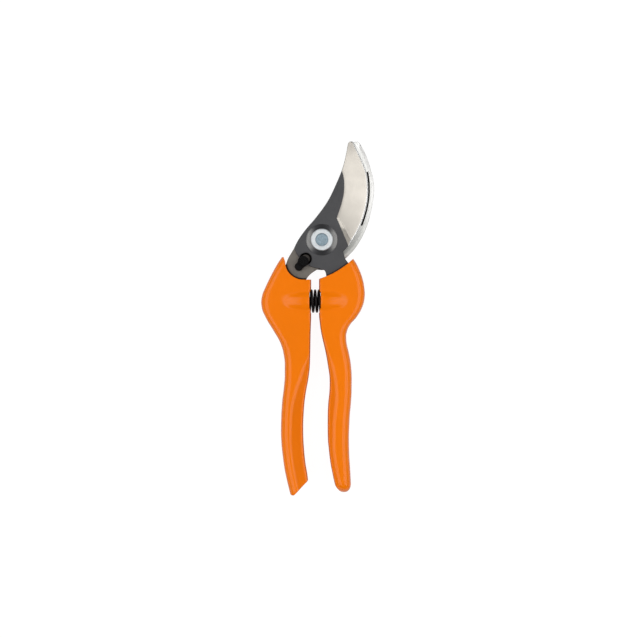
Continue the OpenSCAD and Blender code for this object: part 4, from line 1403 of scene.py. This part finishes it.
def spring_tree(material):
    """Node tree that winds wire along X, with closed turns at both ends."""
    tree, given, ids = new_group("wound_spring", {
        "Start": "Vector", "Length": "Float", "Mean radius": "Float", "Wire radius": "Float",
        "Turns": "Float", "Closed turns": "Float", "Points": "Int", "Sides": "Int"})
    turns, closed = given["Turns"], given["Closed turns"]
    line = first(tree, "GeometryNodeMeshLine", {"Count": given["Points"]})
    curve = first(tree, "GeometryNodeMeshToCurve", {"Mesh": line})
    along = node(tree, "GeometryNodeSplineParameter").outputs["Factor"]
    turn = maths(tree, "MULTIPLY", along, turns)
    angle = maths(tree, "MULTIPLY", turn, math.tau)
    # A closed turn climbs by a little over the wire's own diameter.
    shut = maths(tree, "MULTIPLY", maths(tree, "MULTIPLY", given["Wire radius"], 2.08), closed)
    late = maths(tree, "SUBTRACT", turns, closed)
    loose = maths(tree, "MULTIPLY_ADD", shut, -2.0, given["Length"])
    climbs = [ranged(tree, turn, start, end, 0.0, height)
              for start, end, height in ((0.0, closed, shut), (closed, late, loose),
                                         (late, turns, shut))]
    x = maths(tree, "ADD", maths(tree, "ADD", climbs[0], climbs[1]), climbs[2])
    y, z = (maths(tree, "MULTIPLY", maths(tree, wave, angle), given["Mean radius"])
            for wave in ("COSINE", "SINE"))
    offset = first(tree, "ShaderNodeCombineXYZ", {0: x, 1: y, 2: z})
    place = vectors(tree, "ADD", offset, given["Start"])
    wound = first(tree, "GeometryNodeSetPosition", {"Geometry": curve, "Position": place})
    wire = first(tree, "GeometryNodeCurvePrimitiveCircle",
                 {"Resolution": given["Sides"], "Radius": given["Wire radius"]})
    swept = first(tree, "GeometryNodeCurveToMesh",
                  {"Curve": wound, "Profile Curve": wire, "Fill Caps": True})
    rounded = first(tree, "GeometryNodeSetShadeSmooth", {"Geometry": swept})
    real = first(tree, "GeometryNodeRealizeInstances", {"Geometry": rounded})
    close_group(tree, real, material)
    return tree, ids


class PRUNER_OT_spring(bpy.types.Operator):
    """Winds the return spring between the two pockets"""
    bl_idname = "pruner.spring"
    bl_label = "Spring"

    def execute(self, context):
        sizes = context.scene.pruner_spring
        wire = plain_finish("oil_blackened_spring_wire", context.scene.pruner_colours.spring,
                            0.6, (0.28, 0.4), 0.6, 0.1)
        tree, ids = spring_tree(wire)
        half = sizes.wire / 2
        radius = (SPRING_HIGH.z - SPRING_LOW.z) / 2 * MM + sizes.swell - half
        room = (POCKET_H - POCKET_FLOOR) * MM
        start = (SPRING_LOW.x * MM + room + half, -SPRING_S * MM, FACE_Z * MM)
        length = (SPRING_HIGH.x - SPRING_LOW.x) * MM - 2 * room - sizes.wire
        made = bpy.data.objects.new("return_spring", bpy.data.meshes.new("return_spring"))
        context.scene.collection.objects.link(made)
        wound = applied(made, tree, ids, {
            "Start": start, "Length": length, "Mean radius": radius, "Wire radius": half,
            "Turns": float(sizes.turns), "Closed turns": sizes.closed,
            "Points": sizes.turns * TURN_POINTS + 1, "Sides": WIRE_SIDES})
        wound.set_sharp_from_angle(angle=math.radians(40))
        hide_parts("coil_spring")
        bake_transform(made)
        return {"FINISHED"}


# ---------- Catch ----------
KNOB_R = 3.05
BLOCK_R = 2.3


def ribbed_tree(material):
    """Node tree that cuts a row of grooves across the top of a knob."""
    tree, given, ids = new_group("ribbed_knob", {
        "Geometry": "Geometry", "Grooves": "Int", "First": "Vector", "Step": "Vector",
        "Size": "Vector", "Turn": "Vector"})
    row = first(tree, "GeometryNodeMeshLine",
                {"Count": given["Grooves"], "Start Location": given["First"],
                 "Offset": given["Step"]})
    cutter = first(tree, "GeometryNodeMeshCube", {"Size": given["Size"]})
    cuts = first(tree, "GeometryNodeInstanceOnPoints",
                 {"Points": row, "Instance": cutter, "Rotation": given["Turn"]})
    real = first(tree, "GeometryNodeRealizeInstances", {"Geometry": cuts})
    cut = first(tree, "GeometryNodeMeshBoolean", {"Mesh 1": given["Geometry"], "Mesh 2": real},
                operation="DIFFERENCE", solver="EXACT")
    close_group(tree, cut, material)
    return tree, ids


def ribbed(target, tree, ids, grooves, start, step, z, size):
    """Cuts a row of grooves across an object on the catch's line, from a distance along it."""
    applied(target, tree, ids, {
        "Grooves": grooves, "First": (*(c * MM for c in catch_at(start)), z * MM),
        "Step": (*(c * MM for c in catch_at(step)), 0), "Size": size, "Turn": (0, 0, CATCH_A),
    }).set_sharp_from_angle(angle=math.radians(30))


class PRUNER_OT_catch(bpy.types.Operator):
    """Builds the thumb button of the catch and the button behind it"""
    bl_idname = "pruner.catch"
    bl_label = "Catch"

    def execute(self, context):
        sizes = context.scene.pruner_catch
        black = plain_finish("black_acetal", context.scene.pruner_colours.catch, 0.0,
                             (0.34, 0.46), 0.4, 0.08, 1.48)
        tree, ids = ribbed_tree(black)
        top = THUMB_HIGH.z
        knob_low = top - 3.0
        neck_r = SLOT_W / 2 - 0.1
        knob = slab("knob", round_loop(KNOB_R, 48, catch_at(KNOB_S)), knob_low, top, [black],
                    break_width=0.35)
        lobe = slab("lobe", bar(KNOB_S + 0.3, LOBE_S, BLOCK_R), knob_low + 0.02,
                    knob_low + 1.9, [black], break_width=0.4)
        combined(knob, lobe, "UNION")
        # The shelf ends in a tooth, slanted to stand beside the cutting blade's spine when the
        # jaws are wide open. Nothing but the tooth and the shelf reaches that blade's height.
        shelf_r, shelf_end = 2.26, 19.3
        tooth = [(shelf_end, -0.6), (19.1, -0.6), (17.9, -1.2), (17.0, -shelf_r)]
        shelf = along_catch(arc(shelf_r, -90, 90, 18, (LOBE_S, 0)) + [(shelf_end, shelf_r)]
                            + tooth)
        combined(knob, slab("shelf", shelf, FACE_Z + 0.1, knob_low + 0.4, [black],
                            break_width=0.1), "UNION")
        root = along_catch(arc(neck_r, -90, 90, 16, (LOBE_S, 0))
                           + [(shelf_end, neck_r), (shelf_end, -neck_r)])
        combined(knob, slab("root", root, FACE_Z - 1, FACE_Z + 0.6, [black], break_width=0.1),
                 "UNION")
        neck = slab("neck", bar(LOBE_S - 1, LOBE_S, neck_r), THUMB_LOW.z, FACE_Z - 0.15,
                    [black], break_width=0.1)
        combined(knob, neck, "UNION")
        step = 2 * KNOB_R / (sizes.ribs + 1)
        ribbed(knob, tree, ids, sizes.ribs, KNOB_S - KNOB_R + step, step, top,
               (sizes.groove, 12 * MM, 2 * sizes.depth))
        knob.name = knob.data.name = "catch_thumb_piece"
        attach(knob, "catch")
        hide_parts("catch_thumb_button")
        reach = SLOT_W / 2 + 1.8
        back = slab("catch_back_piece", bar(LOBE_S - 2.6, LOBE_S + 0.6, reach), BACK_LOW.z,
                    BACK_HIGH.z, [black], break_width=0.5)
        ribbed(back, tree, ids, 4, LOBE_S - 4.3, 1.7, BACK_LOW.z,
               (sizes.groove, 16 * MM, 1.0 * MM))
        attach(back, "catch")
        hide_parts("catch_back_button")
        return {"FINISHED"}


# ---------- Add-on ----------
PIECES = (PRUNER_OT_stage, PRUNER_OT_cutting_blade, PRUNER_OT_counter_blade, PRUNER_OT_handles,
          PRUNER_OT_pivot, PRUNER_OT_spring, PRUNER_OT_catch)


class PRUNER_PT_pieces(bpy.types.Panel):
    """Lists the pieces of the pruner"""
    bl_idname = "PRUNER_PT_pieces"
    bl_label = "Bypass pruner"
    bl_space_type = "VIEW_3D"
    bl_region_type = "UI"
    bl_category = "Pruner"

    def draw(self, context):
        for piece in PIECES:
            self.layout.operator(piece.bl_idname)
        for name in GROUPS:
            group = getattr(context.scene, name)
            box = self.layout.box()
            for key in group.__annotations__:
                box.prop(group, key)


def register():
    for name, group in GROUPS.items():
        bpy.utils.register_class(group)
        setattr(bpy.types.Scene, name, bpy.props.PointerProperty(type=group))
    for made in (*PIECES, PRUNER_PT_pieces):
        bpy.utils.register_class(made)


def unregister():
    for made in (PRUNER_PT_pieces, *reversed(PIECES)):
        bpy.utils.unregister_class(made)
    for name, group in reversed(list(GROUPS.items())):
        delattr(bpy.types.Scene, name)
        bpy.utils.unregister_class(group)


def main():
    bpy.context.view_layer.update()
    register()
    bpy.ops.pruner.stage()
    bpy.ops.pruner.cutting_blade()
    bpy.ops.pruner.counter_blade()
    bpy.ops.pruner.handles()
    bpy.ops.pruner.pivot()
    bpy.ops.pruner.spring()
    bpy.ops.pruner.catch()


if __name__ == "__main__":
    main()
